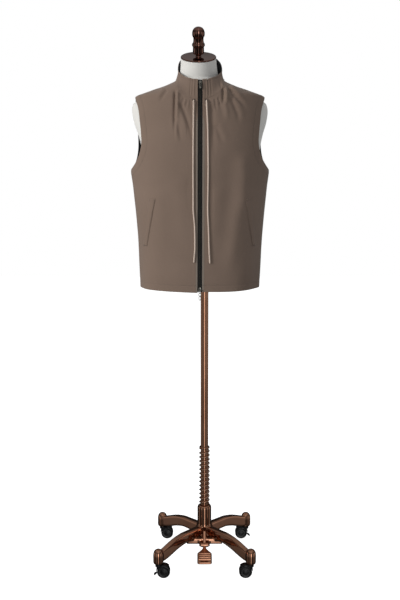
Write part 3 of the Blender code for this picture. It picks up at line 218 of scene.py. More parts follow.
# Rings of the dress form below the neck: height, half width, front and back depth, roundness.
FORM_RINGS = rows_of(
    "z half front back power",
    (0.892, 0.158, 0.102, 0.096, 2.3),
    (0.960, 0.163, 0.102, 0.098, 2.3),
    (1.060, 0.153, 0.097, 0.088, 2.3),
    (1.160, 0.159, 0.104, 0.094, 2.3),
    (1.240, 0.169, 0.109, 0.102, 2.3),
    (1.300, 0.178, 0.108, 0.106, 2.3),
    (1.338, 0.187, 0.104, 0.104, 2.10),
    (1.373, 0.198, 0.098, 0.100, 1.92),
    (1.405, 0.2025, 0.091, 0.095, 1.78),
    (1.424, 0.199, 0.086, 0.090, 1.72),
    (1.436, 0.183, 0.082, 0.086, 1.75),
    (1.450, 0.148, 0.077, 0.082, 1.85),
    (1.466, 0.099, 0.070, 0.074, 2.00),
    (1.480, 0.070, 0.063, 0.064, 2.00),
    (1.500, 0.0595, 0.057, 0.056, 2.00),
)

# Turned outline of the finial, from its tip down: height above the neck cap, and radius.
FINIAL_OUTLINE = [
    (0.0850, 0.0000), (0.0842, 0.0060), (0.0815, 0.0115), (0.0770, 0.0155), (0.0710, 0.0178),
    (0.0650, 0.0184), (0.0595, 0.0178), (0.0565, 0.0163), (0.0535, 0.0152), (0.0490, 0.0149),
    (0.0430, 0.0153), (0.0390, 0.0164), (0.0365, 0.0183), (0.0330, 0.0188), (0.0300, 0.0180),
    (0.0285, 0.0163), (0.0120, 0.0166), (0.0085, 0.0155), (0.0062, 0.0110), (0.0045, 0.0085),
    (0.0003, 0.0085), (0.0003, 0.0000),
]

# ---- stand sizes ---------------------------------------------------------------------------
POLE_RADIUS = 0.0120
POLE_WALL = 0.0020
POLE_BOTTOM_Z = 0.108
POLE_TOP_Z = 0.925
RUNNING = 0.5 * MM
SPRING_BOTTOM_Z = 0.1750
SPRING_TOP_Z = 0.361
SPRING_TURNS = 13.5
SPRING_RADIUS = 0.0147
SPRING_WIRE = 0.0016
STOP_HEIGHT = 0.006
FLANGE_RADIUS = 0.034

CASTER_REACH = 0.1995
BOSS_RADIUS = 0.0157
BOSS_BOTTOM_Z = 0.0440
BOSS_TOP_Z = 0.0895
STEM_RADIUS = 0.0045
STEM_TOP_Z = 0.066
WHEEL_RADIUS = 0.0200
WHEEL_FACETS = 20
AXLE_Z = WHEEL_RADIUS * cos(pi / WHEEL_FACETS)
TRAIL = 0.0160
DISC_INNER_Y = 0.0031
DISC_OUTER_Y = 0.0105
AXLE_RADIUS = 0.0030
WHEEL_ROOM_WIDTH = 0.012
WEB_HALF = 0.0025
WEB_RADIUS = 0.0125
BRAKE_REACH = 0.0150
BRAKE_KNUCKLE = 0.0022
BRAKE_KNUCKLE_LENGTH = 0.0044
HOOD_INNER = WHEEL_RADIUS + 0.0008
HOOD_OUTER = WHEEL_RADIUS + 0.0030
HOOD_FROM = radians(42.0)
HOOD_TO = radians(172.0)
FORK_RIB = (0.0160, 2 * WEB_HALF, 0.0190)
FORK_RIB_BACK = 0.003
FORK_RIB_UP = 0.014
FORK_NECK_RADIUS = 0.0095
FORK_NECK_BOTTOM_Z = 0.0335
FORK_NECK_TOP_Z = 0.0430
STEM_BOTTOM_Z = 0.036

# Turned outline of the hub, from its top down: radius and height.
HUB_OUTLINE = [
    (0.0000, 0.1745), (0.0165, 0.1745), (0.0200, 0.1728), (0.0222, 0.1680), (0.0222, 0.1120),
    (0.0262, 0.1000), (0.0262, 0.0800), (0.0222, 0.0660), (0.0000, 0.0660),
]

# Each leg from the hub outwards: distance from the pole, height of its middle, its own height, width.
LEG_SECTIONS = rows_of(
    "reach z height width",
    (0.012, 0.0888, 0.0375, 0.0240),
    (0.045, 0.0910, 0.0330, 0.0220),
    (0.085, 0.0910, 0.0320, 0.0210),
    (0.120, 0.0853, 0.0345, 0.0200),
    (0.150, 0.0755, 0.0370, 0.0195),
    (0.175, 0.0668, 0.0355, 0.0190),
    (0.192, 0.0625, 0.0300, 0.0185),
)
LEG_AZIMUTHS = {1: 225, 2: 315, 3: 45, 4: 135}
BRAKED_CASTERS = (1, 3)

# The pedal's bracket: a bar between the front legs, a bridge back to the hub and two lugs.
BAR = {"y": -0.045, "long": 0.112, "deep": 0.008, "low": 0.0626, "high": 0.0800}
BRIDGE = {"y": -0.0331, "z": 0.0785, "wide": 0.0171, "deep": 0.0272, "high": 0.011}
LUG = {"y": -0.0565, "z": 0.0675, "deep": 0.021, "high": 0.0105}
LEVER_ROOM = {"y": -0.040, "z": 0.0915, "wide": 0.0115, "deep": 0.040, "high": 0.030}
PEDAL_PIVOT = Vector((POLE_X, -0.062, 0.066))
KNUCKLE_RADIUS = 0.0065
KNUCKLE_LENGTH = 0.026
LUG_THICKNESS = 0.0035
LUG_SPAN = KNUCKLE_LENGTH + 2 * (GAP + LUG_THICKNESS)
PIN_RADIUS = 0.0022
TREAD_HALF_WIDTH = 0.0225
TREAD_RIBS = 4
FIRST_RIB_Y = -0.106
RIB_SPACING = 0.0105
RIB = (0.0400, 0.0038, 0.0040)
LEVER_ARM = (0.0080, 0.0055)
LEVER_ARM_LOW = Vector((POLE_X, -0.060, 0.067))
LEVER_ARM_HIGH = Vector((POLE_X, -0.0375, 0.1005))

# The pedal from its knuckle outwards: place, height, half width and thickness.
PEDAL_SECTIONS = rows_of(
    "y z half thick",
    (-0.066, 0.0630, 0.0050, 0.0065),
    (-0.078, 0.0590, 0.0058, 0.0065),
    (-0.090, 0.0560, 0.0150, 0.0070),
    (-0.100, 0.0545, TREAD_HALF_WIDTH, 0.0075),
    (-0.146, 0.0480, TREAD_HALF_WIDTH, 0.0075),
    (-0.151, 0.0472, TREAD_HALF_WIDTH - 0.003, 0.0060),
)

# A caster's brake lever from its pin outwards.
BRAKE_SECTIONS = rows_of(
    "y z half thick",
    (0.0008, -0.0004, 0.0020, 0.0030),
    (0.0062, -0.0060, 0.0020, 0.0036),
    (0.0068, -0.0064, 0.0070, 0.0036),
    (0.0150, -0.0115, 0.0070, 0.0030),
)
# ---- how finely the cloth is made ----------------------------------------------------------
ROWS_BELOW_ARMPIT = 120
ROWS_ABOVE_ARMPIT = 92
FRONT_NECK_COLUMNS = 44
FRONT_SHOULDER_COLUMNS = 64
BACK_NECK_COLUMNS = 34
BACK_SHOULDER_COLUMNS = 44
COLLAR_QUARTER_COLUMNS = 64
COLLAR_ROWS = 28

# ---- creases of the fronts: where each runs (sideways, height), its width and depth ----------
FRONT_CREASES = rows_of(
    "width depth ridge side tail path",
    (0.0042, 0.0042, 0.8, -1, 0.75,
     [(-0.0716, 1.462), (-0.0722, 1.417), (-0.0734, 1.376), (-0.0732, 1.336), (-0.0708, 1.300)]),
    (0.0055, 0.0024, 0.7, 1, 0.6,
     [(-0.0580, 1.425), (-0.0428, 1.3885), (-0.0345, 1.3647), (-0.0245, 1.328), (-0.0185, 1.300)]),
    (0.0060, 0.0018, 0.6, 1, 0.5, [(-0.0700, 1.385), (-0.0591, 1.3366), (-0.0511, 1.300)]),
    (0.0050, 0.0020, 0.6, 1, 0.6, [(-0.0940, 1.460), (-0.1089, 1.4389), (-0.118, 1.418)]),
    (0.0045, 0.0036, 0.8, -1, 0.5, [(0.0678, 1.466), (0.0676, 1.435), (0.0672, 1.412)]),
    (0.0058, 0.0034, 0.7, -1, 0.6, [(0.0780, 1.468), (0.0935, 1.449), (0.1110, 1.430), (0.1383, 1.4032)]),
    (0.0065, 0.0022, 0.6, -1, 0.6, [(0.0880, 1.440), (0.1010, 1.408), (0.1088, 1.3898), (0.1128, 1.355)]),
    (0.0070, 0.0014, 0.5, -1, 0.5, [(0.0440, 1.358), (0.0560, 1.330), (0.0690, 1.300)]),
    (0.0070, -0.0015, 0.5, 1, 0.5, [(0.0700, 1.425), (0.0760, 1.396), (0.0798, 1.366)]),
    (0.0085, 0.0022, 0.5, 1, 0.6, [(0.0320, 1.420), (0.0352, 1.371), (0.0372, 1.305), (0.0380, 1.250)]),
    (0.0200, -0.0030, 0.5, 1, 0.3,
     [(0.1200, 1.290), (0.1250, 1.215), (0.1209, 1.144), (0.1060, 1.095), (0.0990, 1.030),
      (0.0890, 0.950), (0.0860, 0.900)]),
    (0.0260, -0.0016, 0.4, -1, 0.5, [(-0.1250, 1.180), (-0.1180, 1.060), (-0.1080, 0.930)]),
    (0.0240, -0.0012, 0.4, 1, 0.5, [(-0.060, 1.220), (-0.052, 1.120), (-0.050, 1.000)]),
    (0.0220, -0.0012, 0.4, -1, 0.5, [(0.055, 1.190), (0.050, 1.080), (0.056, 0.960)]),
)
# Small gathers that fan out under each eyelet and along the collar's seam.
GATHERS = rows_of(
    "width depth path",
    (0.0026, 0.0012, [(-0.0270, 1.430), (-0.0285, 1.412), (-0.0300, 1.385)]),
    (0.0028, 0.0010, [(-0.0350, 1.430), (-0.0400, 1.413), (-0.0440, 1.395)]),
    (0.0028, 0.0008, [(-0.0460, 1.436), (-0.0500, 1.422), (-0.0530, 1.405)]),
    (0.0022, 0.0010, [(-0.0225, 1.420), (-0.0240, 1.402), (-0.0250, 1.380)]),
    (0.0024, 0.0013, [(0.0260, 1.431), (0.0268, 1.414), (0.0275, 1.392)]),
    (0.0030, 0.0012, [(0.0420, 1.433), (0.0450, 1.414), (0.0490, 1.390)]),
    (0.0030, 0.0011, [(0.0520, 1.438), (0.0565, 1.420), (0.0600, 1.398)]),
)
# Creases of the back, seen from behind with +X to the right of the wearer's body as it stands.
BACK_CREASES = rows_of(
    "width depth ridge side tail path head",
    (0.0060, 0.0030, 0.7, -1, 0.7, [(-0.060, 1.470), (-0.072, 1.430), (-0.078, 1.370), (-0.076, 1.310)]),
    (0.0055, 0.0032, 0.7, 1, 0.7, [(0.064, 1.468), (0.079, 1.420), (0.084, 1.360)]),
    (0.0100, 0.0030, 0.6, 1, 0.6, [(-0.150, 1.290), (-0.110, 1.270), (-0.065, 1.262), (-0.020, 1.268)]),
    (0.0110, 0.0030, 0.6, -1, 0.6, [(0.158, 1.260), (0.122, 1.232), (0.080, 1.214), (0.046, 1.210)]),
    (0.0060, 0.0016, 0.5, 1, 0.7, [(-0.030, 1.462), (-0.026, 1.420), (-0.030, 1.365)]),
    (0.0050, 0.0014, 0.5, -1, 0.7, [(0.022, 1.470), (0.028, 1.432), (0.026, 1.390)]),
    (0.0200, 0.0030, 0.5, 1, 0.3, [(-0.090, 1.180), (-0.082, 1.080), (-0.094, 0.960), (-0.098, 0.890)], 0.5),
    (0.0220, 0.0028, 0.5, -1, 0.3, [(0.030, 1.200), (0.042, 1.090), (0.036, 0.980), (0.044, 0.890)], 0.5),
    (0.0160, 0.0026, 0.5, -1, 0.4, [(0.130, 1.170), (0.120, 1.060), (0.128, 0.930)], 0.4),
)
# Small upright folds of the collar: angle from the centre front, width in angle, depth.
COLLAR_FOLDS = rows_of(
    "angle width depth",
    (-24.0, 1.5, -0.0010), (-18.5, 1.3, -0.0013), (-11.5, 1.0, -0.0008),
    (-14.8, 1.4, 0.0006), (13.5, 1.2, -0.0010), (19.5, 1.4, -0.0012),
    (27.0, 1.8, -0.0008), (16.3, 1.3, 0.0006), (58.0, 4.5, -0.0007),
    (-66.0, 5.0, -0.0006), (118.0, 5.0, -0.0008), (152.0, 4.0, -0.0006),
    (-128.0, 5.5, -0.0008), (-170.0, 4.0, -0.0006),
)
CREASE_STRENGTH = 1.4
COLLAR_STRENGTH = 1.4
EDGE_ROLL = 1.3 * MM
ARMHOLE_STITCH = 0.0220
HEM_STITCH = 0.0200
ZIP_STITCH = 0.0062
STITCH_PITCH = 3.2 * MM
STITCH_LENGTH = 2.3 * MM
STITCH_RADIUS = 0.22 * MM
CORD_ZONE = (0.008, 0.038)
NO_EDGE = 1.0
COLLAR_STITCH = 0.0065
# Grooves of seams and stitching, and the swell beside the armhole: width and depth.
SIDE_SEAM = (1.6 * MM, 0.35 * MM)
TOP_SEAM = (1.6 * MM, 0.12 * MM)
ARMHOLE_GROOVE = (2.2 * MM, 0.22 * MM)
HEM_GROOVE = (2.4 * MM, 0.28 * MM)
ZIP_GROOVE = (1.6 * MM, 0.15 * MM)
ARMHOLE_PUFF = (8.0 * MM, 0.25 * MM)
NECK_GROOVE = (2.5 * MM, 0.12 * MM)
COLLAR_GROOVE = (1.8 * MM, 0.25 * MM)

# ---- how finely the rest is made, and the light ----------------------------------------------
CORD_BRAID_PITCH = 0.0048
CORD_STEP = 1.4 * MM
CORD_SIDES = 16
TAPE_EDGE_X = 0.2 * MM
TOOTH_PITCH = 1.5 * MM
TOOTH_LENGTH = 3.1 * MM
TOOTH_RADIUS = 0.50 * MM
LINK_WIRE = 1.7 * MM
COIL_WIRE = 2.25 * MM
FORM_SIDES = 96
FORM_CHEST_Z = 1.38
FORM_ROWS_BELOW = 64
FORM_ROWS_ABOVE = 76
FORM_NECK_ROWS = 26
LEG_FROM = 0.0185
LEG_FINE = 40
LEG_SQUARENESS = 0.22
SPRING_FINE = 32
CAST_VOXEL = 1.7 * MM
PEDAL_VOXEL = 0.8 * MM
FORK_VOXEL = 0.7 * MM
BRAKE_VOXEL = 0.4 * MM
# Upright light panels, as the polished metal sees them: azimuth from the front, half width,
# softness and strength, and the share of it that is left high up.
PANELS = [
    (5.0, 4.0, 4.0, 2.9), (-44.0, 4.0, 5.0, 0.6), (56.0, 5.0, 5.0, 0.5),
    (-92.0, 9.0, 12.0, 0.42), (94.0, 8.0, 12.0, 0.50),
]
PANEL_ABOVE = 0.15
FRONT_GLOW = 0.15
SIDE_GLOW = 0.03
CEILING_GLOW = 0.26
FILL_LIGHT = 0.40
KEY_POWER = 108.0
TOP_POWER = 8.0
BEHIND_POWER = 22.0


# ---- surfaces ------------------------------------------------------------------------------
def smooth_step(value, low, high):
    t = np.clip((np.asarray(value, float) - low) / (high - low), 0.0, 1.0)
    return t * t * (3.0 - 2.0 * t)


def unit(vectors):
    return vectors / np.maximum(np.linalg.norm(vectors, axis=-1, keepdims=True), 1e-12)

def squared(values, power):
    """Sines or cosines of a superellipse, which is squarer the smaller the power is."""
    return np.abs(values) ** power * np.sign(values)


class Table:
    """A table of rows that rise in height, whose other columns are read smoothly between rows."""

    def __init__(self, rows):
        self.heights = np.array([row["z"] for row in rows])
        self.columns = {key: np.array([row[key] for row in rows]) for key in rows[0] if key != "z"}
        self.slopes = {key: self._slopes(values) for key, values in self.columns.items()}

    def _slopes(self, values):
        step = np.diff(self.heights)
        rise = np.diff(values) / step
        slopes = np.zeros(len(values))
        slopes[0], slopes[-1] = rise[0], rise[-1]
        for k in range(1, len(values) - 1):
            if rise[k - 1] * rise[k] > 0:
                w1, w2 = 2 * step[k] + step[k - 1], step[k] + 2 * step[k - 1]
                slopes[k] = (w1 + w2) / (w1 / rise[k - 1] + w2 / rise[k])
        return slopes

    def at(self, key, z):
        z = np.clip(z, self.heights[0], self.heights[-1])
        k = np.clip(np.searchsorted(self.heights, z, side="right") - 1, 0, len(self.heights) - 2)
        step = self.heights[k + 1] - self.heights[k]
        t = (z - self.heights[k]) / step
        low, high = self.columns[key][k], self.columns[key][k + 1]
        m0, m1 = self.slopes[key][k] * step, self.slopes[key][k + 1] * step
        return (
            (2 * t**3 - 3 * t**2 + 1) * low + (t**3 - 2 * t**2 + t) * m0
            + (3 * t**2 - 2 * t**3) * high + (t**3 - t**2) * m1
        )


class Rings(Table):
    """A body whose level sections are superellipses, from a table of rings."""

    def point(self, angle, z):
        shape = 2.0 / self.at("power", z)
        s, c = np.sin(angle), np.cos(angle)
        depth = np.where(c > 0, self.at("front", z), self.at("back", z))
        x = self.at("half", z) * squared(s, shape)
        y = -depth * squared(c, shape)
        return np.stack(np.broadcast_arrays(x, y, z), axis=-1)

    def angle_of(self, x, z, behind=False):
        share = np.minimum(1.0, np.abs(x) / self.at("half", z))
        angle = np.arcsin(share ** (self.at("power", z) / 2.0))
        angle = np.where(behind, pi - angle, angle)
        return np.where(np.asarray(x) >= 0, angle, -angle)

    def height_of_half(self, half):
        zs = np.linspace(TIP_Z, NECK_SIDE_Z, 200)
        return np.interp(-np.asarray(half), -self.at("half", zs), zs)


VEST = Rings(VEST_RINGS)
FORM = Rings(FORM_RINGS)


def drape(angle, z):
    out = 0.0
    for fold in DRAPE_FOLDS:
        away = (np.degrees(angle) - fold["angle"] + 180.0) % 360.0 - 180.0
        across = np.exp(-((away / fold["width"]) ** 2))
        middle = fold["bottom"] + 0.45 * (fold["top"] - fold["bottom"])
        out = out + fold["depth"] * across * (1.0 - smooth_step(z, middle, fold["top"]))
    return out


def vest_base(angle, z):
    """Points of the vest's rings with their outward normals."""
    step_angle, step_z = 0.004, 0.0008
    around = VEST.point(angle + step_angle, z) - VEST.point(angle - step_angle, z)
    along = VEST.point(angle, z + step_z) - VEST.point(angle, z - step_z)
    return VEST.point(angle, z), unit(np.cross(around, along))


def turn_angle(z):
    return TURN_AT_HEM + (TURN_AT_TIP - TURN_AT_HEM) * height_share(z)


def height_share(z):
    return np.clip((z - HEM_SIDE_Z) / (TIP_Z - HEM_SIDE_Z), 0.0, 1.0)


def rotated(vectors, angle):
    c, s = np.cos(angle), np.sin(angle)
    x, y = vectors[..., 0], vectors[..., 1]
    return np.stack([c * x - s * y, s * x + c * y, vectors[..., 2]], axis=-1)


def turned(points):
    """The vest sits on the form a little turned, and its back hangs towards the wearer's right."""
    made = rotated(points, turn_angle(points[..., 2]))
    made[..., 0] -= BACK_SWAY * height_share(points[..., 2]) * np.maximum(0.0, points[..., 1])
    return made


def crease_depth(creases, x, z):
    """How far the creases push the cloth out at each (sideways, height)."""
    total = np.zeros(np.shape(x))
    for crease in creases:
        path = np.array(crease["path"])
        lengths = np.linalg.norm(np.diff(path, axis=0), axis=1)
        starts = np.concatenate([[0.0], np.cumsum(lengths)])
        best = np.full(np.shape(x), 1e9)
        signed, along = np.zeros(np.shape(x)), np.zeros(np.shape(x))
        for k, length in enumerate(lengths):
            direction = (path[k + 1] - path[k]) / length
            dx, dz = x - path[k, 0], z - path[k, 1]
            t = np.clip(dx * direction[0] + dz * direction[1], 0.0, length)
            away = np.hypot(dx - t * direction[0], dz - t * direction[1])
            side = np.sign(dx * direction[1] - dz * direction[0])
            near = away < best
            best = np.where(near, away, best)
            signed = np.where(near, away * np.where(side == 0, 1, side), signed)
            along = np.where(near, (starts[k] + t) / starts[-1], along)
        width = crease["width"]
        fade = smooth_step(along, 0.0, crease.get("head", 0.12))
        tail = crease.get("tail", 0.6)
        fade = fade * (1.0 - smooth_step(along, 1.0 - tail, 1.0))
        trough = np.exp(-((signed / width) ** 2))
        shift = crease.get("side", 1) * 1.9 * width
        ridge = crease.get("ridge", 0.4) * np.exp(-(((signed - shift) / (1.35 * width)) ** 2))
        total += crease["depth"] * fade * (ridge - trough)
    return total


def ripples(x, z, phase):
    """Faint unevenness of hanging cloth, the same on every run."""
    slow = np.sin(19.0 * x + 5.0 * z + phase) * np.sin(7.0 * z - 11.0 * x + 1.7 * phase)
    mid = np.sin(61.0 * x - 23.0 * z + 2.3 * phase) * np.sin(37.0 * z + 29.0 * x + phase)
    return 0.0007 * slow + 0.00022 * mid


def relief(points, behind):
    """Creases, gathers and unevenness, from where the points are once the vest is turned."""
    x, z = points[..., 0], points[..., 2]
    if behind:
        return crease_depth(BACK_CREASES, x, z) + ripples(x, z, 2.1)
    out = CREASE_STRENGTH * (crease_depth(FRONT_CREASES, x, z) + crease_depth(GATHERS, x, z))
    out = out + ripples(x, z, 0.4)
    near_cord = smooth_step(np.abs(x), CORD_ZONE[0] - 0.006, CORD_ZONE[0])
    near_cord = near_cord * (1.0 - smooth_step(np.abs(x), CORD_ZONE[1], CORD_ZONE[1] + 0.008))
    limit = 0.0003 + 0.02 * (1.0 - near_cord)
    near_zip = 1.0 - smooth_step(np.abs(x), 0.012, 0.022)
    return np.minimum(out, limit) * (1.0 - 0.8 * near_zip)


def armhole_angle(z, behind):
    across = 2.0 * (z - ARMPIT_Z) / (TIP_Z - ARMPIT_Z) - 1.0
    roundness = np.where(across > 0, ARMHOLE_ROUNDNESS, ARMHOLE_LOWER_ROUNDNESS)
    reach = ARMHOLE_BACK if behind else ARMHOLE_FRONT
    reach = reach * (1.0 + ARMHOLE_LOWER_REACH * (1.0 - smooth_step(across, -ARMHOLE_BLEND, ARMHOLE_BLEND)))
    inside = (z > ARMPIT_Z) & (z < TIP_Z)
    return np.where(inside, reach * np.sqrt(np.clip(1.0 - np.abs(across) ** roundness, 0.0, 1.0)), 0.0)


def neckline_z(x, behind):
    share = np.sqrt(np.clip(1.0 - (x / NECK_HALF_WIDTH) ** 2, 0.0, 1.0))
    end = np.where(behind, NECK_BACK_Z, NECK_FRONT_Z)
    return NECK_SIDE_Z + (end - NECK_SIDE_Z) * share


def panel_columns(neck_steps, shoulder_steps, first_x):
    tip = float(VEST.at("half", TIP_Z))
    start = asin(first_x / NECK_HALF_WIDTH)
    neck = NECK_HALF_WIDTH * np.sin(np.linspace(start, pi / 2, neck_steps + 1))
    shoulder = np.linspace(NECK_HALF_WIDTH, tip, shoulder_steps + 1)[1:]
    extra = [first_x + np.array([0.25, 0.7, 1.4]) * MM] if first_x else []
    places = np.unique(np.round(np.concatenate([neck, shoulder, *extra]), 7))
    places[-1] = tip
    places[0] = first_x
    return places / tip


def panel_rows():
    armpit = (ARMPIT_Z - HEM_SIDE_Z) / (TIP_Z - HEM_SIDE_Z)
    low = armpit * np.arange(ROWS_BELOW_ARMPIT) / ROWS_BELOW_ARMPIT
    high = armpit + (1.0 - armpit) * (1.0 - np.cos(pi * np.linspace(0, 1, ROWS_ABOVE_ARMPIT + 1))) / 2
    hem = np.array([0.25, 0.7, 1.4]) * MM / (TIP_Z - HEM_SIDE_Z)
    rows = np.unique(np.round(np.concatenate([low, hem, high]), 7))
    rows[-1] = 1.0
    return rows


def panel_places(columns, rows, behind, first_x):
    tip = float(VEST.at("half", TIP_Z))
    column, row = columns[None, :], rows[:, None]
    top_x = column * tip
    top = np.where(
        top_x < NECK_HALF_WIDTH, neckline_z(top_x, behind), VEST.height_of_half(top_x)
    )
    start = first_x / tip
    across = (column - start) / (1.0 - start)
    hem = HEM_SIDE_Z - HEM_DROP * np.cos(across * pi / 2) ** 2
    z = hem + row * (top - hem)
    edge_z = HEM_SIDE_Z + row * (TIP_Z - HEM_SIDE_Z)
    reference = VEST.at("half", edge_z)
    upper = smooth_step(edge_z, SPREAD_FROM_Z, SPREAD_TO_Z)
    spread = (1.0 - upper) * np.sin(across * pi / 2) + upper * across
    edge_angle = pi / 2 - armhole_angle(edge_z, behind)
    edge_x = reference * np.sin(edge_angle) ** (2.0 / VEST.at("power", edge_z))
    x = first_x + (reference - first_x) * spread - (reference - edge_x) * across**3
    on_shoulder = (row == 1.0) & (top_x >= NECK_HALF_WIDTH)
    x = np.where(on_shoulder, VEST.at("half", z), x)
    return VEST.angle_of(x, z, behind), z


def with_edge_columns(grid):
    """Extra columns close to the last one, so that the cloth's edge can roll over."""
    last, before = grid[:, -1:], grid[:, -2:-1]
    return np.concatenate([grid[:, :-1], *(last + (before - last) * t for t in (0.5, 0.25, 0.1)), last], 1)


def distance_to(points, line):
    """Each point's distance to the nearest point of a line of points."""
    flat = points.reshape(-1, 3)
    best = np.full(len(flat), 1e9)
    for a, b in zip(line, line[1:]):
        step = b - a
        length = max(float(step @ step), 1e-12)
        t = np.clip((flat - a) @ step / length, 0.0, 1.0)
        best = np.minimum(best, ((flat - a - t[:, None] * step) ** 2).sum(axis=1))
    return np.sqrt(best).reshape(points.shape[:-1])


def panel_surface(angle, z, behind, shift):
    """Turned points, normals and outward relief of the vest at these angles and heights."""
    base, normal = vest_base(angle, z)
    base, normal = turned(base + np.array([0.0, shift, 0.0])), rotated(normal, turn_angle(z))
    return base, normal, drape(angle, z) + relief(base, behind)


# ---- collar --------------------------------------------------------------------------------
def collar_base(angle):
    behind = np.cos(angle) < 0
    x = NECK_HALF_WIDTH * np.sin(angle)
    z = neckline_z(x, behind)
    return VEST.point(VEST.angle_of(x, z, behind), z)


def collar_top(angle):
    c = np.cos(angle)
    end_z = np.where(c > 0, COLLAR_TOP_FRONT_Z, COLLAR_TOP_BACK_Z)
    depth = np.where(c > 0, COLLAR_TOP_FRONT_DEPTH, COLLAR_TOP_BACK_DEPTH)
    share = np.where(c > 0, c, 1.0 - np.abs(1.0 + c) ** COLLAR_BACK_RISE)
    z = COLLAR_TOP_SIDE_Z + (end_z - COLLAR_TOP_SIDE_Z) * share
    return np.stack([COLLAR_TOP_HALF_WIDTH * np.sin(angle), -depth * c, z], axis=-1)


def collar_middle(angle, up):
    away = np.stack([np.sin(angle), -np.cos(angle), 0.0 * angle], axis=-1)
    up = np.asarray(up)[..., None]
    flat = collar_base(angle) * (1.0 - up) + collar_top(angle) * up
    side = (np.sin(angle) ** 2)[..., None]
    bulge = COLLAR_BULGE * (1.0 - side) - COLLAR_SIDE_HOLLOW * side
    return flat + away * bulge * np.sin(pi * up)


def collar_surface(angle, up):
    angle, up = np.broadcast_arrays(np.asarray(angle, float), np.asarray(up, float))
    step = 0.01
    around = collar_middle(angle + step, up) - collar_middle(angle - step, up)
    along = collar_middle(angle, np.minimum(1.0, up + step)) - collar_middle(
        angle, np.maximum(0.0, up - step)
    )
    return collar_middle(angle, up), unit(np.cross(around, along))


def collar_relief(angle, up):
    """Folds that stand up the collar."""
    degrees = (np.degrees(angle) + 180.0) % 360.0 - 180.0
    out = 0.0
    for fold in COLLAR_FOLDS:
        across = np.exp(-(((degrees - fold["angle"]) / fold["width"]) ** 2))
        out = out + COLLAR_STRENGTH * fold["depth"] * across * smooth_step(up, -0.1, 0.35)
    return out


# ---- the centre front ----------------------------------------------------------------------
def front_line(z, x, out):
    """Points near the centre front: on the body below the neckline, on the collar above it."""
    z, x, out = np.broadcast_arrays(*(np.asarray(v, float) for v in (z, x, out)))
    low_z = np.minimum(z, NECK_FRONT_Z)
    angle = VEST.angle_of(x, low_z)
    base, normal = vest_base(angle, low_z)
    on_body = turned(base + normal * (out + drape(angle, low_z))[..., None])
    up = np.clip((z - NECK_FRONT_Z) / (COLLAR_TOP_FRONT_Z - NECK_FRONT_Z), 0.0, None)
    middle, normal = collar_surface(np.arcsin(x / NECK_HALF_WIDTH), up)
    on_collar = turned(middle + normal * out[..., None])
    return np.where((z <= NECK_FRONT_Z)[..., None], on_body, on_collar)


def front_frame(z, out):
    here = front_line(z, 0.0, out)
    along = unit(front_line(z + 0.004, 0.0, out) - front_line(z - 0.004, 0.0, out))
    across = unit(front_line(z, 0.003, out) - front_line(z, -0.003, out))
    away = unit(np.cross(across, along))
    return Matrix.Translation(here) @ Matrix((across, along, away)).transposed().to_4x4()


def front_at(x, z, out=0.0):
    """The points of the vest's front that end up this far sideways once the vest is turned."""
    x, z, out = np.broadcast_arrays(*(np.asarray(v, float) for v in (x, z, out)))
    angle = VEST.angle_of(x, z)
    base, normal = vest_base(angle, z)
    flat = base + normal * drape(angle, z)[..., None]
    shift = turned(flat)[..., 0] - flat[..., 0]
    angle = VEST.angle_of(x - shift, z)
    base, normal = vest_base(angle, z)
    return turned(base + normal * (out + drape(angle, z))[..., None])


def eyelet_frame(side):
    x, z, reach = side * EYELET_X, EYELET_Z, 0.003
    here, right, above = front_at(x, z), front_at(x + reach, z), front_at(x, z + reach)
    across = unit(right - here)
    away = unit(np.cross(across, above - here))
    up = np.cross(away, across)
    return Matrix.Translation(here) @ Matrix((across, up, away)).transposed().to_4x4()


def evenly(points, count):
    """Points an even distance apart along a line."""
    lengths = np.concatenate([[0.0], np.cumsum(np.linalg.norm(np.diff(points, axis=0), axis=1))])
    where = np.linspace(0.0, lengths[-1], count)
    return np.stack([np.interp(where, lengths, points[:, k]) for k in range(3)], axis=-1)


def length_of(points):
    return float(np.linalg.norm(np.diff(points, axis=0), axis=1).sum())


def cord_line(route, side):
    """The drawcord's middle line: an arc out of the eyelet, then down the front of the vest."""
    table = Table(route)
    axes = np.array(eyelet_frame(side).to_3x3())
    up, away = axes[:, 1], axes[:, 2]
    clear = GAP + EYELET_THICKNESS + GAP + CORD_DIAMETER / 2 * sin(CORD_EXIT_SLANT)
    start = np.array(eyelet_frame(side).translation) + away * clear
    line = []
    for k in range(CORD_ARC_STEPS + 1):
        angle = CORD_EXIT_SLANT + (pi / 2 - CORD_EXIT_SLANT) * k / CORD_ARC_STEPS
        out = CORD_BEND * (sin(angle) - sin(CORD_EXIT_SLANT))
        down = CORD_BEND * (cos(CORD_EXIT_SLANT) - cos(angle))
        line.append(start + away * out - up * down)
    proud = clear + CORD_BEND * (1.0 - sin(CORD_EXIT_SLANT)) - CORD_LIFT
    top, bottom = line[-1][2] - CORD_JOIN, route[0]["z"]
    z = top + (bottom - top) * np.arange(CORD_FALL_STEPS + 1) / CORD_FALL_STEPS
    settled = smooth_step(top - z, 0.0, CORD_SETTLE)
    below = front_at(table.at("x", z), z, CORD_LIFT + proud * (1.0 - settled))
    return np.concatenate([np.array(line), below])


# ---- mesh helpers --------------------------------------------------------------------------
def linked(name, data):
    """A new object in the scene."""
    obj = bpy.data.objects.new(name, data)
    bpy.context.scene.collection.objects.link(obj)
    return obj

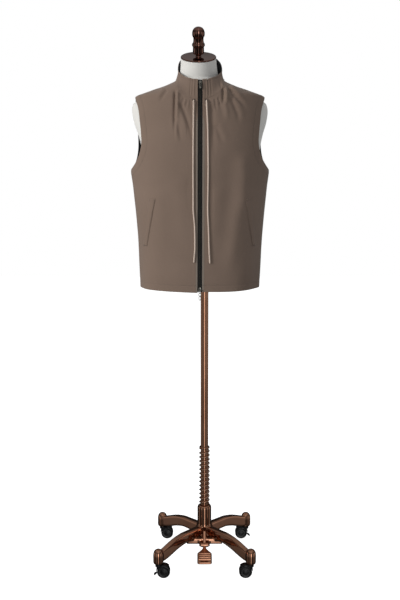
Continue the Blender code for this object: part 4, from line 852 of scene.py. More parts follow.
def mesh_piece(name, points, faces, looks, sharp=None, uv=None, fields=None, slots=None):
    """A mesh object from points and faces, turned outwards if its faces run the wrong way."""
    points = np.asarray(points, float)
    mesh = bpy.data.meshes.new(name)
    mesh.from_pydata(points.tolist(), [], [tuple(f) for f in faces])
    mesh.update()
    if signed_volume(mesh, points) < 0:
        mesh.flip_normals()
    if uv is not None:
        layer = mesh.uv_layers.new(name="weave")
        loops = np.zeros(len(mesh.loops), int)
        mesh.loops.foreach_get("vertex_index", loops)
        layer.data.foreach_set("uv", np.asarray(uv, np.float32)[loops].ravel())
    for field, values in (fields or {}).items():
        layer = mesh.attributes.new(field, "FLOAT", "POINT")
        layer.data.foreach_set("value", np.asarray(values, np.float32))
    for look in looks:
        mesh.materials.append(look)
    if slots is not None:
        mesh.polygons.foreach_set("material_index", np.asarray(slots, np.int32))
    mesh.shade_smooth()
    if sharp:
        mesh.set_sharp_from_angle(angle=radians(sharp))
    return linked(name, mesh)


def signed_volume(mesh, points):
    mesh.calc_loop_triangles()
    corners = np.zeros(3 * len(mesh.loop_triangles), int)
    mesh.loop_triangles.foreach_get("vertices", corners)
    a, b, c = points[corners.reshape(-1, 3).T]
    return float((a * np.cross(b, c)).sum())


def quads(rows, columns, offset=0, closed=False, flip=False):
    i, j = np.meshgrid(np.arange(rows - 1), np.arange(columns if closed else columns - 1), indexing="ij")
    k = (j + 1) % columns
    corners = [i * columns + j, i * columns + k, (i + 1) * columns + k, (i + 1) * columns + j]
    faces = np.stack(corners[::-1] if flip else corners, axis=-1).reshape(-1, 4)
    return (faces + offset).tolist()


def through(matrix, points):
    """The points, moved by a 4 x 4 matrix."""
    return points @ matrix[:3, :3].T + matrix[:3, 3]

def wall(name, outer, inner, looks, uv=None, fields=None):
    """A closed wall between two grids of points, whose inner face may have a look of its own."""
    rows, columns = outer.shape[:2]
    size = rows * columns
    faces = quads(rows, columns)
    front = len(faces)
    faces += quads(rows, columns, size, flip=True)
    back = len(faces)
    for j in range(columns - 1):
        a, b = j, j + 1
        faces.append((b, a, a + size, b + size))
        a, b = (rows - 1) * columns + j, (rows - 1) * columns + j + 1
        faces.append((a, b, b + size, a + size))
    for i in range(rows - 1):
        a, b = i * columns, (i + 1) * columns
        faces.append((a, b, b + size, a + size))
        a, b = a + columns - 1, b + columns - 1
        faces.append((b, a, a + size, b + size))
    points = np.concatenate([outer.reshape(-1, 3), inner.reshape(-1, 3)])
    slots = None
    if len(looks) > 1:
        slots = np.zeros(len(faces), int)
        slots[front:back] = 1
    both = {key: np.tile(value.ravel(), 2) for key, value in (fields or {}).items()}
    flat = None if uv is None else np.tile(uv.reshape(-1, 2), (2, 1))
    return mesh_piece(name, points, faces, looks, uv=flat, fields=both, slots=slots)


def cloth_uv(grid):
    """Distances in metres across and along the cloth, for the weave."""
    across = np.linalg.norm(np.diff(grid, axis=1), axis=-1)
    along = np.linalg.norm(np.diff(grid, axis=0), axis=-1)
    u = np.concatenate([np.zeros((grid.shape[0], 1)), np.cumsum(across, axis=1)], axis=1)
    v = np.concatenate([np.zeros((1, grid.shape[1])), np.cumsum(along, axis=0)], axis=0)
    return np.stack([u - u[:, u.shape[1] // 2][:, None], v], axis=-1)


def area_of(grid):
    a = np.cross(grid[:-1, 1:] - grid[:-1, :-1], grid[1:, :-1] - grid[:-1, :-1])
    b = np.cross(grid[1:, :-1] - grid[1:, 1:], grid[:-1, 1:] - grid[1:, 1:])
    return float((np.linalg.norm(a, axis=-1) + np.linalg.norm(b, axis=-1)).sum() / 2)


def lathe(name, outline, look, frame=None, segments=64, sharp=35.0, closed=False):
    """A solid turned about its local Z from an outline of (radius, height) points."""
    matrix = np.array(frame if frame is not None else Matrix.Identity(4))
    angles = 2 * pi * np.arange(segments) / segments
    points, starts = [], []
    for radius, height in outline:
        starts.append(len(points))
        if radius < 1e-7:
            points.append((0.0, 0.0, height))
        else:
            points += [(radius * cos(a), radius * sin(a), height) for a in angles]
    faces = []
    order = list(range(len(outline))) + ([0] if closed else [])
    for a, b in zip(order, order[1:]):
        low_pole, high_pole = outline[a][0] < 1e-7, outline[b][0] < 1e-7
        for k in range(segments):
            n = (k + 1) % segments
            low, high = starts[a], starts[b]
            if low_pole and high_pole:
                continue
            if low_pole:
                faces.append((low, high + n, high + k))
            elif high_pole:
                faces.append((low + k, low + n, high))
            else:
                faces.append((low + k, low + n, high + n, high + k))
    points = np.array(points) @ matrix[:3, :3].T + matrix[:3, 3]
    return mesh_piece(name, points, faces, [look], sharp=sharp)


def flowing(outline, steps=5):
    """A turned outline with its points joined by smooth curves, except at close pairs of points."""
    pts = np.array(outline, float)
    out = [tuple(pts[0])]
    for k in range(len(pts) - 1):
        p1, p2 = pts[k], pts[k + 1]
        p0 = pts[k - 1] if k else 2 * p1 - p2
        p3 = pts[k + 2] if k + 2 < len(pts) else 2 * p2 - p1
        gap = np.linalg.norm(p2 - p1)
        t0, t1 = unit(p2 - p0) * gap, unit(p3 - p1) * gap
        for step in range(1, steps + 1):
            t = step / steps
            h = (2 * t**3 - 3 * t**2 + 1, t**3 - 2 * t**2 + t, 3 * t**2 - 2 * t**3, t**3 - t**2)
            point = h[0] * p1 + h[1] * t0 + h[2] * p2 + h[3] * t1
            out.append((max(0.0, float(point[0])), float(point[1])))
    return out


def tube_mesh(name, line, radius, sides, look, relief=None, uv=None):
    """A tube with rounded ends along a line of points, with relief(angle, distance) on its skin."""
    line = np.asarray(line, float)
    along = unit(np.gradient(line, axis=0))
    side = unit(np.cross(along[0], [0.3, 1.0, 0.2]))
    frames = []
    for direction in along:
        side = unit(side - direction * (side @ direction))
        frames.append((side, np.cross(direction, side)))
    distance = np.concatenate([[0.0], np.cumsum(np.linalg.norm(np.diff(line, axis=0), axis=1))])
    total = distance[-1]
    angles = 2 * pi * np.arange(sides) / sides
    end = radius * 0.9
    rings, uvs = [], []
    for point, (a, b), s in zip(line, frames, distance):
        from_end = min(s, total - s)
        taper = np.sqrt(max(0.04, 1.0 - (1.0 - min(1.0, from_end / end)) ** 2))
        r = radius * taper
        r = r + (relief(angles, s) if relief else 0.0)
        rings.append(point + np.outer(r * np.cos(angles), a) + np.outer(r * np.sin(angles), b))
        uvs.append(np.stack([angles / (2 * pi) * 2 * pi * radius, np.full(sides, s)], axis=-1))
    points = np.concatenate([*rings, line[:1], line[-1:]])
    faces = quads(len(rings), sides, closed=True)
    first, last, base = len(points) - 2, len(points) - 1, (len(rings) - 1) * sides
    for k in range(sides):
        n = (k + 1) % sides
        faces += [(first, n, k), (last, base + k, base + n)]
    flat = np.concatenate([*uvs, [[0, 0], [0, total]]]) if uv else None
    return mesh_piece(name, points, faces, [look], uv=flat)


def many(name, template, frames, look, sharp=None):
    """Copies of a small closed shape, one at each 4 x 4 frame, in one mesh."""
    points, faces = template
    points = np.asarray(points, float)
    frames = np.asarray(frames, float)
    placed = np.einsum("nij,pj->npi", frames[:, :3, :3], points) + frames[:, None, :3, 3]
    all_faces = []
    for k in range(len(frames)):
        all_faces += [tuple(v + k * len(points) for v in face) for face in faces]
    return mesh_piece(name, placed.reshape(-1, 3), all_faces, [look], sharp=sharp)


def capsule(length, radius, sides=6, flat=1.0):
    """A rounded bar along X, squashed along Z where flat is under 1."""
    half = length / 2 - radius
    rings = [(-half - 0.7 * radius, 0.7), (-half, 1.0), (half, 1.0), (half + 0.7 * radius, 0.7)]
    points = []
    for x, share in rings:
        for k in range(sides):
            a = 2 * pi * (k + 0.5) / sides
            points.append((x, radius * share * cos(a), radius * share * flat * sin(a)))
    points += [(-length / 2, 0, 0), (length / 2, 0, 0)]
    faces = [tuple(f) for f in quads(len(rings), sides, closed=True)]
    last = (len(rings) - 1) * sides
    for k in range(sides):
        n = (k + 1) % sides
        faces += [(len(points) - 2, n, k), (len(points) - 1, last + k, last + n)]
    return points, faces


def frames_along(points, normals, lift=0.0):
    """Frames whose X runs along the line and whose Z is the surface's normal."""
    along = unit(np.gradient(points, axis=0))
    up = unit(normals - along * (normals * along).sum(-1, keepdims=True))
    side = np.cross(up, along)
    made = np.tile(np.eye(4), (len(points), 1, 1))
    made[:, :3, 0], made[:, :3, 1], made[:, :3, 2] = along, side, up
    made[:, :3, 3] = points + up * lift
    return made


def joined(name, sources, look):
    """One object out of several, whose own objects are removed."""
    made = bmesh.new()
    for obj in sources:
        source = obj.data.copy()
        source.transform(obj.matrix_world)
        made.from_mesh(source)
        bpy.data.objects.remove(obj)
    mesh = bpy.data.meshes.new(name)
    made.to_mesh(mesh)
    made.free()
    mesh.materials.clear()
    mesh.materials.append(look)
    return linked(name, mesh)


def baked(obj):
    """The object with its modifiers made real."""
    bpy.context.view_layer.update()
    graph = bpy.context.evaluated_depsgraph_get()
    mesh = bpy.data.meshes.new_from_object(obj.evaluated_get(graph))
    obj.modifiers.clear()
    obj.data = mesh
    return obj


def cast(obj, voxel, rounds):
    """One skin over overlapping solids, with the soft inner corners of a casting."""
    skin = obj.modifiers.new("skin", "REMESH")
    skin.mode = "VOXEL"
    skin.voxel_size = voxel
    soft = obj.modifiers.new("soft", "SMOOTH")
    soft.factor = 0.5
    soft.iterations = rounds
    baked(obj)
    obj.data.shade_smooth()
    return obj


def cut_out(obj, cutters):
    for cutter in cutters:
        step = obj.modifiers.new("cut", "BOOLEAN")
        step.operation = "DIFFERENCE"
        step.solver = "EXACT"
        step.object = cutter
    baked(obj)
    for cutter in cutters:
        bpy.data.objects.remove(cutter)
    return obj


def rounded_box(name, size, look, matrix, bevel):
    bm = bmesh.new()
    bmesh.ops.create_cube(bm, size=1.0)
    bmesh.ops.scale(bm, vec=size, verts=bm.verts)
    if bevel:
        bmesh.ops.bevel(bm, geom=bm.edges[:], offset=bevel, segments=3, affect="EDGES", profile=0.5)
    bmesh.ops.transform(bm, matrix=matrix, verts=bm.verts)
    mesh = bpy.data.meshes.new(name)
    bm.to_mesh(mesh)
    bm.free()
    mesh.materials.append(look)
    mesh.shade_smooth()
    mesh.set_sharp_from_angle(angle=radians(50))
    return linked(name, mesh)


def rod(name, radius, length, centre, look, axis="Z", segments=32, bevel=0.0):
    half, r = length / 2, radius
    outline = [(0.0, -half), (r - bevel, -half), (r, -half + bevel),
               (r, half - bevel), (r - bevel, half), (0.0, half)]
    if not bevel:
        outline = [(0.0, -half), (r, -half), (r, half), (0.0, half)]
    turn = Matrix.Identity(4)
    if axis != "Z":
        turn = Matrix.Rotation(pi / 2, 4, "X" if axis == "Y" else "Y")
    return lathe(name, outline, look, Matrix.Translation(centre) @ turn, segments, sharp=40.0)


def ring_plate(name, outer, inner, thickness, bevel, look, frame):
    """A flat link between two closed loops of (x, y) points, with its edges rounded."""
    outer, inner = np.array(outer), np.array(inner)
    middle = outer.mean(axis=0)
    half = thickness / 2

    def moved(loop, by):
        return loop + unit(loop - middle) * by

    soft = 0.3 * bevel
    levels = [
        (moved(outer, -bevel), half), (moved(outer, -soft), half - soft), (outer, half - bevel),
        (outer, bevel - half), (moved(outer, -soft), soft - half), (moved(outer, -bevel), -half),
        (moved(inner, bevel), -half), (moved(inner, soft), soft - half), (inner, bevel - half),
        (inner, half - bevel), (moved(inner, soft), half - soft), (moved(inner, bevel), half),
    ]
    count = len(outer)
    points = np.concatenate([np.column_stack([loop, np.full(count, z)]) for loop, z in levels])
    faces = []
    for a in range(len(levels)):
        b = (a + 1) % len(levels)
        for k in range(count):
            n = (k + 1) % count
            faces.append((a * count + k, a * count + n, b * count + n, b * count + k))
    matrix = np.array(frame)
    return mesh_piece(name, through(matrix, points), faces, [look])


def oval(width, height, centre=(0.0, 0.0), power=2.0, count=48):
    angles = 2 * pi * np.arange(count) / count
    x = width / 2 * squared(np.cos(angles), 2 / power) + centre[0]
    y = height / 2 * squared(np.sin(angles), 2 / power) + centre[1]
    return np.column_stack([x, y])


def place(piece, body, slot, *nodes):
    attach(piece, body)
    if nodes:
        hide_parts(*nodes)
    return piece


# ---- materials -----------------------------------------------------------------------------
class Look:
    """A material's node tree, with short calls for the nodes that the finishes share."""

    def __init__(self, name, rough, metal=0.0, **constants):
        self.material = bpy.data.materials.new(name)
        self.material.use_nodes = True
        self.tree = self.material.node_tree
        self.shader = self.tree.nodes["Principled BSDF"]
        self.set(Roughness=rough, Metallic=metal, **constants)
        self.height = None

    def set(self, **values):
        for key, value in values.items():
            self.shader.inputs[key.replace("_", " ")].default_value = value

    def node(self, kind, **settings):
        made = self.tree.nodes.new(kind)
        for key, value in settings.items():
            setattr(made, key, value)
        return made

    def link(self, source, target):
        self.tree.links.new(source, target)

    def math(self, operation, a, b=None, clamp=False):
        made = self.node("ShaderNodeMath", operation=operation, use_clamp=clamp)
        for socket, value in zip(made.inputs, (a, b)):
            if value is None:
                continue
            if isinstance(value, (int, float)):
                socket.default_value = value
            else:
                self.link(value, socket)
        return made.outputs[0]

    def uv(self):
        return self.node("ShaderNodeUVMap", uv_map="weave").outputs["UV"]

    def where(self):
        return self.node("ShaderNodeTexCoord").outputs["Object"]

    def field(self, name):
        return self.node("ShaderNodeAttribute", attribute_name=name).outputs["Fac"]

    def noise(self, vector, scale, detail=3.0, rough=0.55, stretch=None):
        if stretch:
            mapping = self.node("ShaderNodeMapping")
            mapping.inputs["Scale"].default_value = stretch
            self.link(vector, mapping.inputs["Vector"])
            vector = mapping.outputs["Vector"]
        made = self.node("ShaderNodeTexNoise")
        made.inputs["Scale"].default_value = scale
        made.inputs["Detail"].default_value = detail
        made.inputs["Roughness"].default_value = rough
        self.link(vector, made.inputs["Vector"])
        return made.outputs["Fac"]

    def ramp(self, value, stops):
        made = self.node("ShaderNodeValToRGB")
        elements = made.color_ramp.elements
        elements[0].position, elements[1].position = stops[0][0], stops[-1][0]
        elements[0].color, elements[1].color = (*stops[0][1], 1), (*stops[-1][1], 1)
        for position, colour in stops[1:-1]:
            elements.new(position).color = (*colour, 1)
        self.link(value, made.inputs["Fac"])
        return made.outputs["Color"]

    def mix(self, share, a, b):
        made = self.node("ShaderNodeMix", data_type="RGBA")
        for socket, value in ((made.inputs[0], share), (made.inputs[6], a), (made.inputs[7], b)):
            if isinstance(value, tuple):
                socket.default_value = (*value, 1.0)
            elif isinstance(value, (int, float)):
                socket.default_value = value
            else:
                self.link(value, socket)
        return made.outputs[2]

    def spread(self, value, low, high):
        made = self.node("ShaderNodeMapRange")
        made.inputs["To Min"].default_value, made.inputs["To Max"].default_value = low, high
        self.link(value, made.inputs["Value"])
        return made.outputs["Result"]

    def colour(self, source):
        self.link(source, self.shader.inputs["Base Color"])

    def rough(self, source):
        self.link(source, self.shader.inputs["Roughness"])

    def bump(self, height, strength, distance):
        made = self.node("ShaderNodeBump")
        made.inputs["Strength"].default_value = strength
        made.inputs["Distance"].default_value = distance
        self.link(height, made.inputs["Height"])
        if self.height is not None:
            self.link(self.height, made.inputs["Normal"])
        self.height = made.outputs["Normal"]
        self.link(self.height, self.shader.inputs["Normal"])

    def threads(self, vector, pitch, aslant=0.0):
        """Crossing threads of this pitch, over and under each other, as a height."""
        parts = []
        for axis in ("X", "Y"):
            wave = self.node("ShaderNodeTexWave", bands_direction=axis, wave_profile="SIN")
            wave.inputs["Scale"].default_value = 2 * pi / 20.0 / pitch
            wave.inputs["Distortion"].default_value = aslant
            wave.inputs["Detail"].default_value = 1.0
            self.link(vector, wave.inputs["Vector"])
            parts.append(self.math("SUBTRACT", wave.outputs["Fac"], 0.5))
        return self.math("ADD", self.math("MULTIPLY", parts[0], parts[1]), 0.5)


def cloth_look():
    look = Look("shell_cloth_look", 0.68, Sheen_Weight=0.12, Sheen_Roughness=0.45)
    look.set(Specular_IOR_Level=0.32)
    uv, where = look.uv(), look.where()
    slow = look.noise(where, 5.0, 3.0)
    fine = look.noise(uv, 900.0, 2.0, stretch=(1.0, 0.25, 1.0))
    base = look.ramp(slow, [(0.3, (0.196, 0.141, 0.109)), (0.7, (0.224, 0.162, 0.127))])
    base = look.mix(look.spread(fine, 0.0, 0.30), base, (0.150, 0.106, 0.081))
    edge = look.math("SUBTRACT", 1.0, look.math("MULTIPLY", look.field("zip_edge"), 170.0), clamp=True)
    strip = look.math("MULTIPLY", edge, 6.0, clamp=True)
    base = look.mix(look.math("MULTIPLY", strip, 0.55), base, (0.235, 0.215, 0.185))
    stitch = look.math("SUBTRACT", 1.0, look.math("MULTIPLY", look.field("stitch"), 900.0), clamp=True)
    base = look.mix(look.math("MULTIPLY", stitch, 0.45), base, (0.085, 0.062, 0.048))
    look.colour(base)
    look.rough(look.spread(look.noise(where, 34.0), 0.60, 0.74))
    look.bump(look.threads(uv, 0.55 * MM), 0.35, 0.12 * MM)
    look.bump(look.noise(where, 260.0, 3.0), 0.10, 0.5 * MM)
    pucker = look.noise(uv, 420.0, 1.0)
    near = look.math("SUBTRACT", 1.0, look.math("MULTIPLY", look.field("stitch"), 260.0), clamp=True)
    pucker = look.math("ADD", look.math("MULTIPLY", pucker, 0.6), -1.0)
    look.bump(look.math("MULTIPLY", near, pucker), 0.5, 0.5 * MM)
    return look.material


def lining_look():
    look = Look("dark_lining_look", 0.6, Sheen_Weight=0.03, Sheen_Roughness=0.4)
    uv = look.uv()
    look.colour(look.ramp(look.noise(uv, 500.0),
                          [(0.3, (0.0035, 0.0035, 0.004)), (0.7, (0.009, 0.009, 0.0095))]))
    look.bump(look.threads(uv, 0.4 * MM), 0.3, 0.08 * MM)
    return look.material


def tape_look():
    look = Look("zip_tape_look", 0.8, Sheen_Weight=0.2)
    uv = look.uv()
    look.colour(look.ramp(look.noise(uv, 800.0),
                          [(0.3, (0.006, 0.0055, 0.0055)), (0.7, (0.017, 0.0155, 0.015))]))
    look.bump(look.threads(uv, 0.7 * MM, 0.4), 0.7, 0.25 * MM)
    return look.material


def chain_look():
    look = Look("zip_chain_look", 0.38, Coat_Weight=0.15, Coat_Roughness=0.3)
    grain = look.noise(look.where(), 900.0, 2.0)
    look.colour(look.ramp(grain, [(0.3, (0.008, 0.008, 0.005)), (0.7, (0.028, 0.027, 0.019))]))
    look.bump(grain, 0.15, 0.1 * MM)
    return look.material


def metal_look():
    look = Look("zip_metal_look", 0.24, 1.0)
    where = look.where()
    brushed = look.noise(where, 700.0, 2.0, stretch=(1.0, 1.0, 0.08))
    look.colour(look.ramp(brushed, [(0.3, (0.14, 0.135, 0.115)), (0.7, (0.30, 0.29, 0.26))]))
    look.rough(look.spread(brushed, 0.18, 0.32))
    look.bump(brushed, 0.12, 0.1 * MM)
    return look.material


def enamel_look():
    look = Look("eyelet_enamel_look", 0.45, 0.35)
    grain = look.noise(look.where(), 800.0, 2.0)
    look.colour(look.ramp(grain, [(0.3, (0.085, 0.062, 0.050)), (0.7, (0.120, 0.088, 0.070))]))
    look.bump(grain, 0.1, 0.1 * MM)
    return look.material


def cord_look():
    look = Look("cord_look", 0.78, Sheen_Weight=0.25, Sheen_Roughness=0.5)
    uv = look.uv()
    strands = look.threads(uv, 1.1 * MM, 0.3)
    look.colour(look.ramp(strands, [(0.25, (0.52, 0.40, 0.33)), (0.75, (0.78, 0.65, 0.55))]))
    look.bump(look.noise(uv, 1400.0, 2.0), 0.4, 0.15 * MM)
    return look.material


def jersey_look():
    look = Look("form_jersey_look", 0.85, Sheen_Weight=0.15, Sheen_Roughness=0.5)
    where = look.where()
    base = look.ramp(look.noise(where, 9.0), [(0.3, (0.745, 0.735, 0.705)), (0.7, (0.785, 0.775, 0.745))])
    seam = look.math("SUBTRACT", 1.0, look.math("MULTIPLY", look.field("seam"), 800.0), clamp=True)
    look.colour(look.mix(look.math("MULTIPLY", seam, 0.15), base, (0.50, 0.49, 0.46)))
    look.bump(look.threads(look.uv(), 1.0 * MM, 0.5), 0.35, 0.2 * MM)
    look.bump(look.math("MULTIPLY", seam, -1.0), 0.3, 0.3 * MM)
    return look.material


def copper_look(name, low, high):
    look = Look(name, 0.10, 1.0, Coat_Weight=0.2, Coat_Roughness=0.04)
    where = look.where()
    slow = look.noise(where, 14.0, 3.0)
    look.colour(look.ramp(slow, [(0.3, low), (0.7, high)]))
    look.rough(look.spread(look.noise(where, 20.0, 1.0), 0.06, 0.10))
    return look.material


def plastic_look(name, low, high):
    look = Look(name, 0.22, Coat_Weight=0.1, Coat_Roughness=0.06, Specular_IOR_Level=0.35)
    where = look.where()
    look.colour(look.ramp(look.noise(where, 60.0),
                          [(0.3, (0.0025, 0.0025, 0.003)), (0.7, (0.006, 0.006, 0.007))]))
    look.rough(look.spread(look.noise(where, 140.0, 4.0), low, high))
    look.bump(look.noise(where, 1500.0, 2.0), 0.05, 0.1 * MM)
    return look.material


def board_look():
    look = Look("board_look", 0.6)
    where = look.where()
    grain = look.noise(where, 14.0, 5.0, stretch=(1.0, 9.0, 9.0))
    look.colour(look.ramp(grain, [(0.3, (0.36, 0.25, 0.15)), (0.7, (0.50, 0.37, 0.24))]))
    look.bump(grain, 0.2, 0.4 * MM)
    return look.material


LOOKS = {
    "shell_cloth": cloth_look(), "dark_lining": lining_look(), "zip_tape": tape_look(),
    "zip_chain": chain_look(), "zip_metal": metal_look(), "cord": cord_look(),
    "form_jersey": jersey_look(), "board": board_look(),
    "copper_plate": copper_look("copper_plate_look", (0.44, 0.210, 0.125), (0.54, 0.275, 0.170)),
    # painted shade: a darker copy of the copper plating, for the neck cap and finial, standing in for their
    # dimmer reflections high up
    "shaded_plate": copper_look("shaded_plate_look", (0.20, 0.095, 0.070), (0.28, 0.140, 0.105)),
    # painted highlight: a lighter copy of the copper plating, so that the spring's wire stands out lit against
    # the pole
    "lit_plate": copper_look("lit_plate_look", (0.66, 0.38, 0.25), (0.74, 0.46, 0.32)),
    "black_plastic": plastic_look("black_plastic_look", 0.14, 0.26),
    "wheel_plastic": plastic_look("wheel_plastic_look", 0.20, 0.34),
}


# ---- camera --------------------------------------------------------------------------------
def make_camera():
    data = bpy.data.cameras.new("camera")
    data.lens, data.sensor_width, data.sensor_fit = CAMERA_LENS_MM, SENSOR_MM, "AUTO"
    camera = linked("camera", data)
    camera.location = (0.0, -CAMERA_DISTANCE, CAMERA_HEIGHT)
    camera.rotation_euler = (pi / 2 - CAMERA_PITCH, 0.0, 0.0)
    bpy.context.scene.camera = camera


# ---- drawcords and eyelets -----------------------------------------------------------------
def braid(radius):
    def relief(angles, s):
        turns = 2 * pi * s / CORD_BRAID_PITCH
        return 0.05 * radius * np.sin(4 * angles + turns) * np.sin(4 * angles - turns)

    return relief


def drawcords():
    for name, route in CORD_ROUTES.items():
        side = 1 if name.endswith("left") else -1
        line = cord_line(route, side)
        length = length_of(line)
        fine = evenly(line, int(length / CORD_STEP))
        cord = tube_mesh(f"{name}_braid", fine, CORD_DIAMETER / 2, CORD_SIDES, LOOKS["cord"],
                         braid(CORD_DIAMETER / 2), uv=True)
        place(cord, "form", "cord", name)


def eyelets():
    enamel = enamel_look()
    middle, half = (EYELET_RADIUS + EYELET_HOLE) / 2, (EYELET_RADIUS - EYELET_HOLE) / 2
    for name, side in (("eyelet_left", 1), ("eyelet_right", -1)):
        outline = []
        for k in range(20):
            a = 2 * pi * k / 20
            dome = 0.5 + 0.5 * sin(a)
            outline.append((middle + half * cos(a), GAP + EYELET_THICKNESS * dome))
        ring = lathe(f"{name}_ring", outline, enamel, eyelet_frame(side), 48, None, closed=True)
        place(ring, "form", "zip_metal", name)


# ---- cloth ---------------------------------------------------------------------------------
def roll_in(distance):
    """How far a wall's face sinks at this distance from a free edge, so that the edge is round."""
    share = 1.0 - np.clip(distance / EDGE_ROLL, 0.0, 1.0)
    return CLOTH / 2 * (1.0 - np.sqrt(np.clip(1.0 - share**2, 0.0, 1.0)))


def groove(distance, width, depth):
    return depth * np.exp(-((distance / width) ** 2))


class Panel:
    """One piece of the vest's cloth: its grid, distances to its edges and finished faces."""

    def __init__(self, behind, side):
        self.behind, self.side = behind, side
        first_x = 0.0 if behind else ZIP_HALF_GAP
        steps = (BACK_NECK_COLUMNS, BACK_SHOULDER_COLUMNS) if behind else (
            FRONT_NECK_COLUMNS, FRONT_SHOULDER_COLUMNS)
        columns = panel_columns(*steps, first_x)
        angle, z = panel_places(columns, panel_rows(), behind, first_x)
        flat_x = np.abs(VEST.point(angle, z)[..., 0])
        shift = GAP / 2 if behind else -GAP / 2
        if behind:
            halves = [panel_surface(sign * angle, z, behind, shift) for sign in (-1, 1)]
            left, right = [[with_edge_columns(part) for part in half] for half in halves]
            self.base, self.normal, self.out = [
                np.concatenate([a[:, :0:-1], b], axis=1) for a, b in zip(left, right)
            ]
            self.flat_x = np.full(self.out.shape, NO_EDGE)
            edges = (0, -1)
        else:
            parts = panel_surface(side * angle, z, behind, shift)
            self.base, self.normal, self.out = [with_edge_columns(part) for part in parts]
            self.flat_x = with_edge_columns(flat_x)
            edges = (-1,)
        self.normal = unit(self.normal)
        self.edge_lines = [self.base[:, edge] for edge in edges]
        z0 = self.base[:, edges[0], 2]
        hole = (z0 >= ARMPIT_Z - 0.0015) & (z0 <= TIP_Z + 1e-6)
        side_rows = z0 <= ARMPIT_Z + 0.0015
        self.armhole_lines = [line[hole] for line in self.edge_lines]
        self.to_armhole = np.min([distance_to(self.base, line) for line in self.armhole_lines], axis=0)
        self.to_side = np.min([distance_to(self.base, line[side_rows]) for line in self.edge_lines], axis=0)
        top = self.base[-1]
        shoulder = np.abs(top[:, 0]) >= NECK_HALF_WIDTH - 0.002
        self.to_top = distance_to(self.base, top)
        self.to_shoulder = distance_to(self.base, top[shoulder]) if not behind else self.to_top
        self.to_hem = self.base[..., 2] - self.base[0, :, 2][None, :]
        self.to_zip = self.flat_x - ZIP_HALF_GAP if not behind else np.full(self.out.shape, NO_EDGE)

    def faces(self, thickness=CLOTH, behind_by=0.0, plain=False):
        """Outer and inner grids, behind_by further in than the shell."""
        free = np.minimum(np.minimum(self.to_armhole, self.to_hem), np.abs(self.to_zip))
        rounding = roll_in(free)
        seams = groove(self.to_side, *SIDE_SEAM) + groove(self.to_top, *TOP_SEAM)
        stitched = groove(self.to_armhole - ARMHOLE_STITCH, *ARMHOLE_GROOVE)
        stitched = stitched + groove(self.to_hem - HEM_STITCH, *HEM_GROOVE)
        stitched = stitched + groove(self.to_zip - ZIP_STITCH, *ZIP_GROOVE)
        puff = groove(self.to_armhole - ARMHOLE_STITCH / 2, *ARMHOLE_PUFF)
        detail = 0.0 if plain else puff - seams - stitched
        hang = np.zeros_like(self.base)
        wave = 0.5 * MM * np.sin(self.base[..., 0] * 41.0 + 1.3) * np.exp(-self.to_hem / 0.03)
        hang[..., 2] = wave
        if self.side == -1:
            hang[..., 2] -= 2.4 * MM * np.exp(-((self.to_zip / 0.04) ** 2)) * np.exp(-self.to_hem / 0.05)
        level = (self.out + detail - behind_by)[..., None] * self.normal
        outer = self.base + hang + level - rounding[..., None] * self.normal
        inner = self.base + hang + level + (rounding - thickness)[..., None] * self.normal
        return outer, inner

    def fields(self):
        stitch = np.minimum(np.abs(self.to_armhole - ARMHOLE_STITCH), np.abs(self.to_hem - HEM_STITCH))
        stitch = np.minimum(stitch, np.abs(self.to_zip - ZIP_STITCH))
        high = 0.02 * smooth_step(self.base[..., 2], 1.36, 1.42)
        return {"zip_edge": self.to_zip + high, "stitch": stitch}


def cut_size(outer, uv):
    """The flat width and length that a panel was cut to, and its area."""
    width = float(uv[..., 0].max() - uv[..., 0].min())
    length = float(uv[..., 1].max() - uv[..., 1].min())
    return width, length, area_of(outer)


def declare(outer, uv):
    width, length, area = cut_size(outer, uv)
    area = min(area, 0.999 * width * length)


def vest_cloth():
    """The two fronts, the back and its lining."""
    made = {}
    for name, behind, side in (("front_left", False, 1), ("front_right", False, -1), ("back", True, 0)):
        panel = Panel(behind, side)
        outer, inner = panel.faces()
        uv = cloth_uv(outer)
        looks = [LOOKS["shell_cloth"], LOOKS["dark_lining"]]
        piece = wall(f"{name}_cloth", outer, inner, looks, uv, panel.fields())
        place(piece, "form", "shell_cloth", name)
        declare(outer, uv)
        made[name] = (panel, outer)
    panel = made["back"][0]
    outer, inner = [grid[::2, ::2] for grid in panel.faces(LINING, CLOTH + LINING_CLEAR, plain=True)]
    uv = cloth_uv(outer)
    piece = wall("back_lining_cloth", outer, inner, [LOOKS["dark_lining"]], uv)
    place(piece, "form", "dark_lining", "back_lining")
    declare(outer, uv)
    return made


def collar_angles():
    start = asin(ZIP_HALF_GAP / NECK_HALF_WIDTH)
    front = np.linspace(start, pi / 2, COLLAR_QUARTER_COLUMNS)
    back = np.linspace(pi / 2, pi, COLLAR_QUARTER_COLUMNS)[1:]
    half = np.concatenate([[start], front[1:], back])
    half = np.insert(half, 1, start + np.array([0.003, 0.009, 0.018]))
    return np.concatenate([half, 2 * pi - half[-2::-1]])


